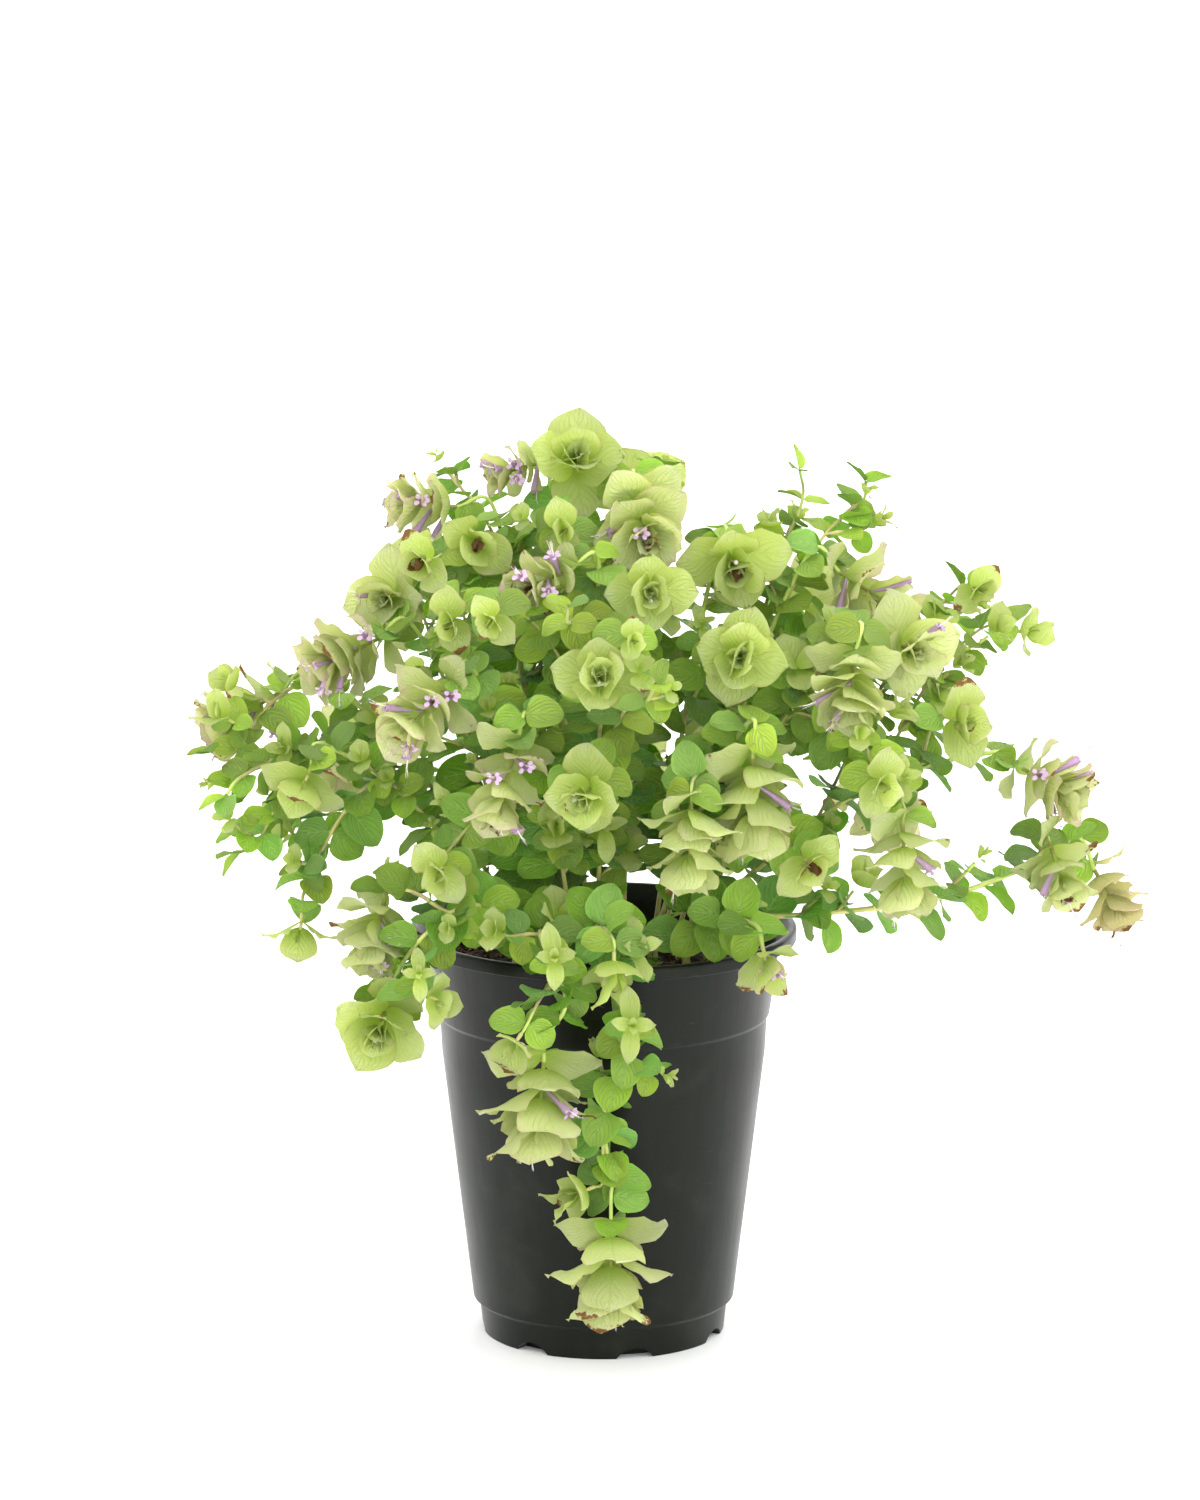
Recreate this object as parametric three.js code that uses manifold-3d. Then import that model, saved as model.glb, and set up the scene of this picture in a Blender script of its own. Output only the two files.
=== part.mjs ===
// A potted oregano with hop-like heads of pale bracts: the pot, its soil, the leafy stems and the heads.
// Millimetres, +Z up. The origin is the middle of the pot's underside, and -Y faces the viewer.

import * as THREE from 'three';
import { mergeVertices } from 'three/addons/utils/BufferGeometryUtils.js';
import Module from 'manifold-3d';

const wasm = await Module();
wasm.setup();

// Pot: a tapered nursery can with a rolled lip, a collar, a skirt and lobed feet.
const potHeight = 178;
const lipRadius = 82.5;
const lipDepth = 5.6;
const collarFoot = 139;
const collarRadius = 71.1;
const collarTopRadius = 75.5;
const shoulderHeight = 124;
const shoulderRadius = 69.2;
const skirtHeight = 15;
const skirtTopRadius = 56;
const skirtRadius = 53.3;
const footRadius = 51.8;
const wall = 1.8;
const hubRadius = 30;
const channelRise = 4;
const channelRadius = 43;
const hubSlope = 1.2;
const creaseHeight = 2;
const ridgeDepth = 1.1;
const ridgeHeight = 1.5;
const edgeRound = 0.9;
const mouthRadius = 79.5;
const mouthDepth = 7;
const innerFootRadius = 50.8;
const roundness = 24;

// Drainage: arched notches between the feet, and holes in the channel inside them.
const notchCount = 7;
const firstNotch = THREE.MathUtils.degToRad(15);
const notchRadius = 9.5;
const notchHeight = 4.6;
const notchDepth = 14;
const notchSides = 16;
const drainCount = 5;
const drainRadius = 3.5;
const drainSides = 6;

// Soil
const soilLevel = 162;
const soilEdgeDepth = 4;
const soilRings = [0.7, 0.36, 0];
const swellHeight = 2.1;
const lumpHeight = 1.2;
const soilGap = 0.35;
const rootDepth = 5;
const rootHoleRadius = 3.8;
const rootHoleSides = 4;

// Stems are square in section, as in all the mint family. A stem rises upright, then leans out to its
// lead point, and a twig leaves its trunk's line by a lead point of its own.
const stemWidth = 2;
const twigWidth = 1.5;
const stemStep = 27;
const twigStep = 28;
const fewestSteps = 3;
const uprightRise = 8;
const leadRise = 22;
const leadLean = 3;
const forkTurn = 0.4;
const forkLeadShare = 0.15;
const longestForkLead = 12;
const middleShare = 0.52;
const archShare = 0.1;
const approachShare = 0.16;
const longestApproach = 16;
const budLength = 2.5;
const budShare = 0.6;

// Leaves: their size at the foot of a stem, how much smaller the last ones are, how far they open from
// the stem, and how far they turn up to the sky and out from the pot's axis.
const ringsPerPair = 2;
const leafLength = 23;
const leafWidth = 20;
const leafTaper = 0.28;
const tipLeafTaper = 0.45;
const twigLeafShare = 0.95;
const leafVariety = 0.2;
const leafOpening = THREE.MathUtils.degToRad(72);
const tipLeafOpening = THREE.MathUtils.degToRad(34);
const leafSwing = THREE.MathUtils.degToRad(28);
const leafSteepness = 0.7;
const leafOutwardShare = 0.5;
const leafCup = 0.09;
const leafBend = -0.45;

// Blades are thickest along the rib and sharp at the margin.
const bladeThickness = 1.2;
const clearance = 0.3;
const ownClearance = 0.05;

// The core of a head, and where its first pair of bracts and its florets stand.
const headGap = 0.35;
const coreHalf = 1.5;
const coreTaper = 0.4;
const coreTail = 4;
const cupStart = 1;
const firstPair = 2.4;
const bractVariety = 0.16;
const innerBractTaper = 0.08;
const bractSwing = 0.3;
const bractSpread = 10;
const floretLean = THREE.MathUtils.degToRad(24);
const floretShare = 0.72;
const floretMouth = 1.9;
const floretFoot = 0.7;

// The view that the plant's places were read from: a 1200 x 1500 picture,
// its focal length in picture points, and the eye's place and downward pitch.
const pictureCentre = { column: 600, row: 750 };
const focal = 7479;
const eye = new THREE.Vector3(-1.5, -3111, 907.5);
const pitch = THREE.MathUtils.degToRad(11.863);

// Vertices of one solid closer than the first are the same, and edges shorter than the second go.
const sameVertex = 1e-4;
const shortestEdge = 0.01;

// Margins: pairs of how far along the blade, and the half width there as a share of the width.
const leafEdge = [[0.32, 0.48], [0.74, 0.44]];
const bractEdge = [[0.38, 0.42], [0.72, 0.44]];

// Kinds of head: the angles from the axis of its first and last bracts, how far
// apart its pairs are, and the width, cupping and bend of its bracts.
const kinds = {
  hop: { open: 78, close: 52, spacing: 6.2, width: 1.02, cup: 0.15, bend: 0.35 },
  rose: { open: 80, close: 30, spacing: 4, width: 1, cup: 0.13, bend: 0.28 },
  cup: { open: 68, close: 26, spacing: 2.8, width: 1, cup: 0.13, bend: 0.3 },
};

// The stems. A stem stands at its root on the soil, and its first arm is the stem itself: the others
// fork from it, at a share of its way. Each arm ends at a place in the picture, so many millimetres in
// front of the pot's axis, or at a point given outright, and bears a hop, a rose, a young cup or a
// leafy tip. That faces by its turn, from the viewer to the right, and its drop below the level, and
// a head may have its roll about its own axis given.
const stems = [
  { name: 'crown', root: [-6, 4], arms: [
    { head: 'crown', bears: 'rose', reach: 26, pairs: 3,
      column: 575, row: 458, front: 20, turn: 5, drop: -32 },
    { head: 'crown_side', fork: 0.78, bears: 'hop', reach: 16, pairs: 3,
      column: 521, row: 468, front: -12, turn: -70, drop: 12 },
    { fork: 0.62, bears: 'cup', reach: 14, pairs: 2,
      column: 563, row: 530, front: 62, turn: 0, drop: -10 },
  ] },
  { name: 'high_centre', root: [8, -6], arms: [
    { head: 'high_centre', bears: 'hop', reach: 24, pairs: 4,
      column: 642, row: 520, front: 45, turn: 8, drop: 22 },
    { head: 'upper_rose', fork: 0.55, bears: 'rose', reach: 20, pairs: 3,
      column: 650, row: 592, front: 88, turn: 4, drop: -4 },
    { fork: 0.8, bears: 'tip',
      column: 655, row: 472, front: 0, turn: 20, drop: -70 },
  ] },
  { name: 'high_left', root: [-20, 0], arms: [
    { head: 'high_left', bears: 'hop', reach: 20, pairs: 3,
      column: 428, row: 506, front: 5, turn: -78, drop: -4 },
    { fork: 0.7, bears: 'cup', reach: 16, pairs: 2,
      column: 424, row: 562, front: 48, turn: -30, drop: 0 },
    { fork: 0.6, bears: 'cup', reach: 19, pairs: 2,
      column: 476, row: 542, front: 40, turn: 12, drop: 8 },
    { fork: 0.82, bears: 'tip',
      column: 456, row: 474, front: -25, turn: -30, drop: -60 },
  ] },
  { name: 'upper_side', root: [-12, -14], arms: [
    { head: 'upper_side', bears: 'hop', reach: 17, pairs: 3,
      column: 545, row: 580, front: 80, turn: -55, drop: 12 },
    { fork: 0.6, bears: 'cup', reach: 13, pairs: 2,
      column: 492, row: 620, front: 108, turn: -10, drop: 10 },
    { fork: 0.7, bears: 'tip',
      column: 568, row: 606, front: 112, turn: 0, drop: -50 },
  ] },
  { name: 'left', root: [-30, -6], arms: [
    { head: 'left_shoulder', bears: 'hop', reach: 22, pairs: 4,
      column: 346, row: 655, front: 45, turn: -62, drop: 20 },
    { head: 'left_pale', fork: 0.66, bears: 'rose', reach: 23, pairs: 3,
      column: 388, row: 598, front: 15, turn: -25, drop: 0 },
    { fork: 0.45, bears: 'cup', reach: 16, pairs: 2,
      column: 450, row: 622, front: 82, turn: -10, drop: 5 },
  ] },
  { name: 'far_left', root: [-38, 8], arms: [
    { head: 'far_left', bears: 'hop', reach: 24, pairs: 4,
      column: 246, row: 712, front: 10, turn: -80, drop: 28 },
    { fork: 0.82, bears: 'tip',
      column: 212, row: 752, front: 38, turn: -60, drop: -20 },
    { fork: 0.6, bears: 'tip',
      column: 226, row: 795, front: 52, turn: -40, drop: 30 },
  ] },
  { name: 'left_low', root: [-38, -18], arms: [
    { bears: 'cup', reach: 21, pairs: 2,
      column: 302, row: 788, front: 62, turn: -20, drop: 32 },
    { fork: 0.62, bears: 'cup', reach: 17, pairs: 2,
      column: 300, row: 934, front: 56, turn: -20, drop: 72 },
    { fork: 0.8, bears: 'tip',
      column: 240, row: 852, front: 40, turn: -60, drop: 20 },
  ] },
  { name: 'left_mid', root: [-22, -26], arms: [
    { head: 'left_mid', bears: 'hop', reach: 22, pairs: 4,
      column: 424, row: 712, front: 98, turn: -42, drop: 30 },
    { fork: 0.4, bears: 'cup', reach: 16, pairs: 2,
      column: 440, row: 872, front: 112, turn: -5, drop: 10 },
  ] },
  { name: 'centre', root: [-2, -22], arms: [
    { head: 'centre_rose', bears: 'rose', reach: 22, pairs: 3,
      column: 600, row: 677, front: 118, turn: 0, drop: -20 },
    { fork: 0.72, bears: 'cup', reach: 10, pairs: 2,
      column: 632, row: 640, front: 120, turn: 10, drop: 0 },
    { fork: 0.62, bears: 'tip',
      column: 656, row: 684, front: 138, turn: 20, drop: -40 },
  ] },
  { name: 'centre_low', root: [-12, -38], arms: [
    { head: 'centre_side', bears: 'hop', reach: 22, pairs: 4,
      column: 505, row: 785, front: 108, turn: -32, drop: 58 },
    { head: 'centre_cup', fork: 0.5, bears: 'rose', reach: 21, pairs: 3,
      column: 586, row: 795, front: 128, turn: -15, drop: 14 },
  ] },
  { name: 'left_rim', root: [-34, -36], arms: [
    { head: 'left_rim', bears: 'rose', reach: 26, pairs: 4,
      column: 380, row: 1028, front: 102, turn: -10, drop: 26,
      via: [
        { column: 470, row: 905, front: 92 },
        { column: 420, row: 940, front: 104 },
      ] },
    { head: 'left_low', fork: 0.5, bears: 'hop', reach: 23, pairs: 3,
      column: 378, row: 930, front: 92, turn: -25, drop: 62 },
    { fork: 0.66, bears: 'cup', reach: 14, pairs: 2,
      column: 438, row: 1000, front: 120, turn: 50, drop: 10 },
  ] },
  { name: 'trailing', root: [4, -44], arms: [
    { head: 'trail_end', bears: 'hop', reach: 27, pairs: 4,
      column: 611, row: 1272, front: 92, turn: 0, drop: 84, roll: 90,
      via: [
        { column: 596, row: 930, front: 92 },
        { column: 628, row: 1030, front: 104 },
        { column: 604, row: 1110, front: 94 },
        { column: 612, row: 1180, front: 88 },
      ] },
    { fork: 0.3, bears: 'cup', reach: 21, pairs: 2,
      column: 614, row: 978, front: 122, turn: 0, drop: 66 },
    { fork: 0.76, bears: 'cup', reach: 20, pairs: 2,
      column: 572, row: 1196, front: 92, turn: -72, drop: 18 },
  ] },
  { name: 'front_left', root: [-20, -50], arms: [
    { head: 'front_left', bears: 'hop', reach: 29, pairs: 4,
      column: 540, row: 1106, front: 112, turn: -18, drop: 74, roll: 75,
      via: [
        { column: 540, row: 935, front: 96 },
        { column: 566, row: 1000, front: 114 },
      ] },
    { fork: 0.7, bears: 'cup', reach: 17, pairs: 1,
      column: 512, row: 1048, front: 128, turn: -40, drop: 40 },
  ] },
  { name: 'right_centre', root: [22, -24], arms: [
    { head: 'right_centre', bears: 'hop', reach: 28, pairs: 4,
      column: 754, row: 802, front: 100, turn: 8, drop: 78, roll: 45 },
    { head: 'centre_hop', fork: 0.62, bears: 'hop', reach: 23, pairs: 4,
      column: 690, row: 842, front: 118, turn: -12, drop: 80, roll: 20 },
    { fork: 0.42, bears: 'cup', reach: 17, pairs: 2,
      column: 808, row: 864, front: 96, turn: 12, drop: 10 },
  ] },
  { name: 'right_rose', root: [20, -8], arms: [
    { head: 'pale_right', bears: 'rose', reach: 26, pairs: 3,
      column: 735, row: 566, front: 38, turn: 10, drop: 16 },
    { head: 'right_rose', fork: 0.5, bears: 'rose', reach: 22, pairs: 4,
      column: 740, row: 656, front: 84, turn: 2, drop: -4 },
  ] },
  { name: 'upper_right', root: [32, 6], arms: [
    { head: 'upper_right', bears: 'hop', reach: 22, pairs: 4,
      column: 870, row: 592, front: 18, turn: 60, drop: 26 },
    { head: 'cream_right', fork: 0.62, bears: 'rose', reach: 24, pairs: 3,
      column: 912, row: 650, front: 56, turn: 30, drop: 0 },
    { fork: 0.55, bears: 'tip',
      column: 800, row: 470, front: -25, turn: -10, drop: -70 },
    { fork: 0.7, bears: 'tip',
      column: 866, row: 482, front: -35, turn: 30, drop: -70 },
  ] },
  { name: 'right_mid', root: [36, -16], arms: [
    { head: 'right_mid', bears: 'hop', reach: 23, pairs: 3,
      column: 852, row: 690, front: 88, turn: -8, drop: 56 },
    { head: 'right_low', fork: 0.6, bears: 'hop', reach: 24, pairs: 4,
      column: 905, row: 865, front: 82, turn: 12, drop: 74, roll: 30 },
    { fork: 0.7, bears: 'cup', reach: 16, pairs: 2,
      column: 882, row: 784, front: 104, turn: 10, drop: 10 },
  ] },
  { name: 'right_reach', root: [44, 4], arms: [
    { head: 'right_reach', bears: 'hop', reach: 22, pairs: 3,
      column: 1050, row: 782, front: 22, turn: 72, drop: 22 },
    { fork: 0.66, bears: 'cup', reach: 21, pairs: 2,
      column: 962, row: 722, front: 44, turn: 30, drop: 0 },
    { fork: 0.46, bears: 'cup', reach: 15, pairs: 2,
      column: 977, row: 590, front: -20, turn: 20, drop: -10 },
    { fork: 0.54, bears: 'cup', reach: 14, pairs: 2,
      column: 1030, row: 632, front: 0, turn: 70, drop: 0 },
  ] },
  { name: 'far_right', root: [48, -16], arms: [
    { head: 'far_right_dry', bears: 'hop', reach: 19, pairs: 3,
      column: 1108, row: 895, front: -5, turn: 62, drop: 58,
      via: [
        { column: 800, row: 915, front: 30 },
        { column: 930, row: 900, front: 30 },
        { column: 1030, row: 866, front: 10 },
      ] },
    { head: 'far_right', fork: 0.74, bears: 'hop', reach: 20, pairs: 3,
      column: 1058, row: 868, front: 30, turn: 25, drop: 50 },
  ] },
  { name: 'rim_right', root: [34, -44], arms: [
    { bears: 'cup', reach: 19, pairs: 2,
      column: 768, row: 966, front: 104, turn: 20, drop: 46 },
  ] },
  { name: 'back_left', root: [-22, 26], arms: [
    { head: 'back_left_high', bears: 'rose', reach: 23, pairs: 3,
      at: [-78, 92, 318], turn: -140, drop: 0 },
    { head: 'back_left_low', fork: 0.5, bears: 'hop', reach: 24, pairs: 4,
      at: [-112, 118, 226], turn: -125, drop: 50 },
    { fork: 0.6, bears: 'cup', reach: 17, pairs: 2,
      at: [-40, 138, 262], turn: 170, drop: 10 },
  ] },
  { name: 'back_middle', root: [2, 36], arms: [
    { head: 'back_top', bears: 'rose', reach: 23, pairs: 3,
      at: [18, 72, 356], turn: 170, drop: -20 },
    { head: 'back_middle', fork: 0.42, bears: 'hop', reach: 26, pairs: 4,
      at: [10, 150, 216], turn: 175, drop: 60 },
    { fork: 0.7, bears: 'cup', reach: 16, pairs: 2,
      at: [-4, 112, 316], turn: -170, drop: 0 },
  ] },
  { name: 'back_right', root: [28, 26], arms: [
    { head: 'back_right_high', bears: 'hop', reach: 23, pairs: 4,
      at: [92, 96, 300], turn: 140, drop: 0 },
    { head: 'back_right_low', fork: 0.5, bears: 'hop', reach: 23, pairs: 4,
      at: [122, 112, 208], turn: 130, drop: 55 },
    { fork: 0.7, bears: 'cup', reach: 17, pairs: 2,
      at: [58, 136, 256], turn: 165, drop: 10 },
  ] },
];

// Colours
const colours = {
  pot: 0x2e3235,
  soil: 0x2c231b,
  stem: 0x86b04c,
  head: 0xcfdc8a,
};

const up = new THREE.Vector3(0, 0, 1);

// A seeded draw from 0 to 1 for the given pair of numbers.
function chance(first, second) {
  const wave = Math.sin(first * 12.9898 + second * 78.233) * 43758.5453;
  return wave - Math.floor(wave);
}

// The point that the view shows at a picture place, so far in front of the pot's axis.
function seen({ column, row, front }) {
  const across = (column - pictureCentre.column) / focal;
  const rise = (pictureCentre.row - row) / focal;
  const ray = new THREE.Vector3(
    across,
    Math.cos(pitch) + rise * Math.sin(pitch),
    rise * Math.cos(pitch) - Math.sin(pitch),
  );
  return eye.clone().addScaledVector(ray, (-front - eye.y) / ray.y);
}

// Solids, from closed geometries

function toManifold(geometry) {
  const plain = geometry.clone();
  plain.deleteAttribute('normal');
  plain.deleteAttribute('uv');
  const merged = mergeVertices(plain, sameVertex);
  const places = merged.attributes.position;
  const index = merged.index.array;
  const faces = [];
  let volume = 0;
  const [a, b, c] = [new THREE.Vector3(), new THREE.Vector3(), new THREE.Vector3()];
  for (let i = 0; i < index.length; i += 3) {
    const [p, q, r] = [index[i], index[i + 1], index[i + 2]];
    if (p === q || q === r || r === p) continue;
    faces.push([p, q, r]);
    a.fromBufferAttribute(places, p);
    b.fromBufferAttribute(places, q);
    c.fromBufferAttribute(places, r);
    volume += a.dot(b.cross(c));
  }
  const outward = volume > 0 ? faces : faces.map(([p, q, r]) => [p, r, q]);
  return new wasm.Manifold(new wasm.Mesh({
    numProp: 3,
    vertProperties: Float32Array.from(places.array),
    triVerts: Uint32Array.from(outward.flat()),
  }));
}

function fromManifold(solid) {
  const mesh = solid.getMesh();
  const geometry = new THREE.BufferGeometry();
  geometry.setAttribute('position', new THREE.BufferAttribute(Float32Array.from(mesh.vertProperties), 3));
  geometry.setIndex(new THREE.BufferAttribute(Uint32Array.from(mesh.triVerts), 1));
  return geometry;
}

// Joins the solids of one node, fills what that seals and drops loose scraps.
function fuse(solids) {
  const bodies = wasm.Manifold.union(solids).simplify(shortestEdge).decompose();
  bodies.sort((one, other) => other.volume() - one.volume());
  return bodies[0];
}

function turned(points, segments) {
  const outline = points.map(([radius, height]) => new THREE.Vector2(radius, height));
  return new THREE.LatheGeometry(outline, segments).rotateX(Math.PI / 2);
}

// Pot

function potShell() {
  return toManifold(turned([
    [0, 0],
    [hubRadius, 0],
    [hubRadius + hubSlope, channelRise],
    [channelRadius, channelRise],
    [channelRadius + hubSlope, 0],
    [footRadius, 0],
    [skirtRadius, skirtHeight - creaseHeight],
    [skirtTopRadius, skirtHeight],
    [shoulderRadius, shoulderHeight],
    [collarRadius - ridgeDepth, collarFoot],
    [collarRadius, collarFoot + ridgeHeight],
    [collarTopRadius, potHeight - lipDepth - edgeRound],
    [lipRadius, potHeight - lipDepth],
    [lipRadius, potHeight - edgeRound],
    [lipRadius - edgeRound, potHeight],
    [mouthRadius, potHeight],
    [collarTopRadius - wall, potHeight - mouthDepth],
    [shoulderRadius - wall, shoulderHeight],
    [innerFootRadius, channelRise + wall],
    [hubRadius, channelRise + wall],
    [hubRadius - hubSlope, wall],
    [0, wall],
  ], roundness));
}

function potSolid() {
  const cuts = [];
  for (let i = 0; i < notchCount; i += 1) {
    const turn = firstNotch + (i * 2 * Math.PI) / notchCount;
    const arch = new THREE.CylinderGeometry(notchRadius, notchRadius, notchDepth, notchSides);
    arch.translate(0, -footRadius, notchHeight - notchRadius);
    cuts.push(toManifold(arch.rotateZ(turn)));
  }
  const drainPath = (hubRadius + channelRadius) / 2;
  for (let i = 0; i < drainCount; i += 1) {
    const turn = ((i + 0.5) * 2 * Math.PI) / drainCount;
    const drill = new THREE.CylinderGeometry(drainRadius, drainRadius, 5 * channelRise, drainSides);
    drill.rotateX(Math.PI / 2).translate(0, drainPath, 0);
    cuts.push(toManifold(drill.rotateZ(-turn)));
  }
  return potShell().subtract(wasm.Manifold.union(cuts));
}

// Soil: it fills the pot, with a lumpy top and a hole for each stem.

function soilHeight(x, y) {
  const swell = swellHeight * Math.sin(x * 0.09 + 1.3) * Math.cos(y * 0.11);
  const lumps = lumpHeight * Math.sin(x * 0.31 + y * 0.23) * Math.cos(y * 0.37 - x * 0.12);
  return soilLevel + swell + lumps;
}

function innerRadius(height) {
  const share = (height - shoulderHeight) / (potHeight - mouthDepth - shoulderHeight);
  return THREE.MathUtils.lerp(shoulderRadius, collarTopRadius, share) - wall;
}

function soilSolid() {
  const edge = innerRadius(soilLevel - soilEdgeDepth) - soilGap;
  const geometry = turned([
    [0, channelRise + wall + soilGap],
    [innerFootRadius - soilGap, channelRise + wall + soilGap],
    [shoulderRadius - wall - soilGap, shoulderHeight],
    [edge, soilLevel - soilEdgeDepth],
    ...soilRings.map((share) => [edge * share, soilLevel]),
  ], roundness);
  const places = geometry.attributes.position;
  for (let i = 0; i < places.count; i += 1) {
    if (places.getZ(i) > soilLevel - soilEdgeDepth / 2) {
      places.setZ(i, soilHeight(places.getX(i), places.getY(i)));
    }
  }
  const depth = rootDepth + soilGap;
  const holes = stems.map(({ root }) => {
    const hole = new THREE.CylinderGeometry(rootHoleRadius, rootHoleRadius, 2 * depth, rootHoleSides);
    hole.rotateX(Math.PI / 2).translate(root[0], root[1], soilLevel);
    return toManifold(hole);
  });
  return toManifold(geometry).subtract(wasm.Manifold.union(holes));
}

// Blades: leaves and bracts

// A blade grows from its foot in a direction, with one face up. Its rib bends towards that face, and
// its margins lift by the cup. Both faces are split alike, each about one point of the rib.
function bladeShape(foot, direction, face, { length, width, cup, bend, edge }) {
  const side = new THREE.Vector3().crossVectors(direction, face).normalize();
  const place = (along, across, lift) => {
    const angle = bend * along;
    const normal = face.clone().multiplyScalar(Math.cos(angle)).addScaledVector(direction, -Math.sin(angle));
    return foot.clone()
      .addScaledVector(direction, (length * Math.sin(angle)) / bend)
      .addScaledVector(face, (length * (1 - Math.cos(angle))) / bend)
      .addScaledVector(side, width * across)
      .addScaledVector(normal, 4 * cup * width * across * across + lift);
  };
  const margin = [
    ...edge,
    [1, 0],
    ...edge.map(([along, across]) => [along, -across]).reverse(),
  ].map(([along, across]) => place(along, across, 0));
  const ribs = [1, -1].map((sign) => place(0.5, 0, (sign * bladeThickness) / 2));
  return { face, margin, ribs };
}

// Runs: a run is a square stem, or the slim core of a head, told by the stations along it. A station
// that can bear blades has two rings, a gap to each side, and its blades grow from the faces between.

function makeStation(centre, tangent, half, gap = 0) {
  return { centre: centre.clone(), tangent: tangent.clone().normalize(), half, gap, blades: [] };
}

// Carries the direction of the faces along the run without twist.
function carryFaces(stations, firstNormal) {
  const normal = firstNormal.clone();
  for (const stop of stations) {
    normal.addScaledVector(stop.tangent, -normal.dot(stop.tangent)).normalize();
    const binormal = new THREE.Vector3().crossVectors(stop.tangent, normal);
    stop.outward = [binormal, normal.clone().negate(), binormal.clone().negate(), normal.clone()];
  }
  return stations;
}

function ringCorners({ centre, tangent, half, outward }, shift) {
  return [[3, 0], [0, 1], [1, 2], [2, 3]].map(([one, other]) => centre.clone()
    .addScaledVector(tangent, shift)
    .addScaledVector(outward[one], half)
    .addScaledVector(outward[other], half));
}

// Grows a blade from the four corners of a face, turned so that its upper side starts at the
// edge that lies most towards the blade's own face.
function growBlade(points, faces, corners, { face, margin, ribs }) {
  const leaning = (turn) => {
    const [a, b, c, d] = [0, 1, 2, 3].map((i) => points[corners[(turn + i) % 4]]);
    return c.clone().add(d).sub(a).sub(b).dot(face);
  };
  const turn = [0, 1, 2, 3].sort((one, other) => leaning(other) - leaning(one))[0];
  const [lowerLeft, lowerRight, upperRight, upperLeft] = [0, 1, 2, 3].map((i) => corners[(turn + i) % 4]);
  const outer = margin.map((place) => points.push(place) - 1);
  const [top, bottom] = ribs.map((place) => points.push(place) - 1);
  const upper = [upperLeft, ...outer, upperRight];
  const lower = [lowerLeft, ...outer, lowerRight];
  for (let i = 0; i + 1 < upper.length; i += 1) {
    faces.push([upper[i], upper[i + 1], top], [lower[i + 1], lower[i], bottom]);
  }
  faces.push([upperRight, upperLeft, top], [lowerLeft, lowerRight, bottom]);
  faces.push([upperLeft, lowerLeft, outer[0]], [lowerRight, upperRight, outer[outer.length - 1]]);
}

function runSolid(stations) {
  const points = [];
  const faces = [];
  const rings = stations.flatMap((stop) => (stop.gap > 0 ? [-stop.gap, stop.gap] : [0])
    .map((shift) => ({
      corners: ringCorners(stop, shift).map((place) => points.push(place) - 1),
      blades: shift < 0 ? stop.blades : [],
    })));
  for (let i = 0; i + 1 < rings.length; i += 1) {
    const [low, high] = [rings[i].corners, rings[i + 1].corners];
    for (let side = 0; side < 4; side += 1) {
      const next = (side + 1) % 4;
      const corners = [low[side], low[next], high[next], high[side]];
      const grown = rings[i].blades.find((shape) => shape.side === side);
      if (grown) {
        growBlade(points, faces, corners, grown);
      } else {
        faces.push([corners[0], corners[1], corners[2]], [corners[0], corners[2], corners[3]]);
      }
    }
  }
  const [first, last] = [rings[0].corners, rings[rings.length - 1].corners];
  faces.push([first[0], first[2], first[1]], [first[0], first[3], first[2]]);
  faces.push([last[0], last[1], last[2]], [last[0], last[2], last[3]]);
  const geometry = new THREE.BufferGeometry().setFromPoints(points);
  geometry.setIndex(faces.flat());
  return toManifold(geometry);
}

// Clearance: what is placed keeps clear of the other nodes, and crosses nothing of its own node

const placed = [];

function boxesApart(one, other) {
  return [0, 1, 2].some((axis) => one.min[axis] - clearance > other.max[axis]
    || other.min[axis] - clearance > one.max[axis]);
}

// A blade may touch the run that it grows from and the other blades of its own station, and a twig
// may touch its trunk.
function belongTogether(piece, other) {
  const sameRun = piece.run === other.run && (other.stop === undefined || other.stop === piece.stop);
  return sameRun || (piece.trunkRun !== undefined && piece.trunkRun === other.run);
}

function isClear(piece) {
  const box = piece.solid.boundingBox();
  return placed.every((other) => {
    if (boxesApart(box, other.box)) return true;
    if (piece.node !== other.node) return piece.solid.minGap(other.solid, 2 * clearance) >= clearance;
    return belongTogether(piece, other) || piece.solid.minGap(other.solid, clearance) >= ownClearance;
  });
}

function put(piece) {
  placed.push({ ...piece, box: piece.solid.boundingBox() });
}

// Places the first of the makes that is clear, and leaves the piece out if none is.
function putFirstClear(makes) {
  for (const make of makes) {
    const piece = make();
    if (isClear(piece)) {
      put(piece);
      return piece;
    }
  }
  return null;
}

// A blade to be placed, with its solid down to the short stretch of run that it grows from.
function makeBlade({ node, run }, stop, shape) {
  return { ...shape, node, run, stop, solid: runSolid([{ ...stop, blades: [shape] }]) };
}

// Arms: the smooth run of a stem or twig from its root or fork to what it bears

function facing({ turn, drop }) {
  const [side, fall] = [THREE.MathUtils.degToRad(turn), THREE.MathUtils.degToRad(drop)];
  return new THREE.Vector3(
    Math.sin(side) * Math.cos(fall),
    -Math.cos(side) * Math.cos(fall),
    -Math.sin(fall),
  );
}

// How long a head is from its base to the tip of its last bracts.
function headLength({ bears, reach, pairs }) {
  const kind = kinds[bears];
  return kind.spacing * (pairs - 1) + reach * Math.cos(THREE.MathUtils.degToRad(kind.close));
}

function armEnd(arm) {
  const middle = arm.at ? new THREE.Vector3(...arm.at) : seen(arm);
  const half = arm.bears === 'tip' ? 0 : headLength(arm) / 2;
  return middle.addScaledVector(facing(arm), -half);
}

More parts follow.
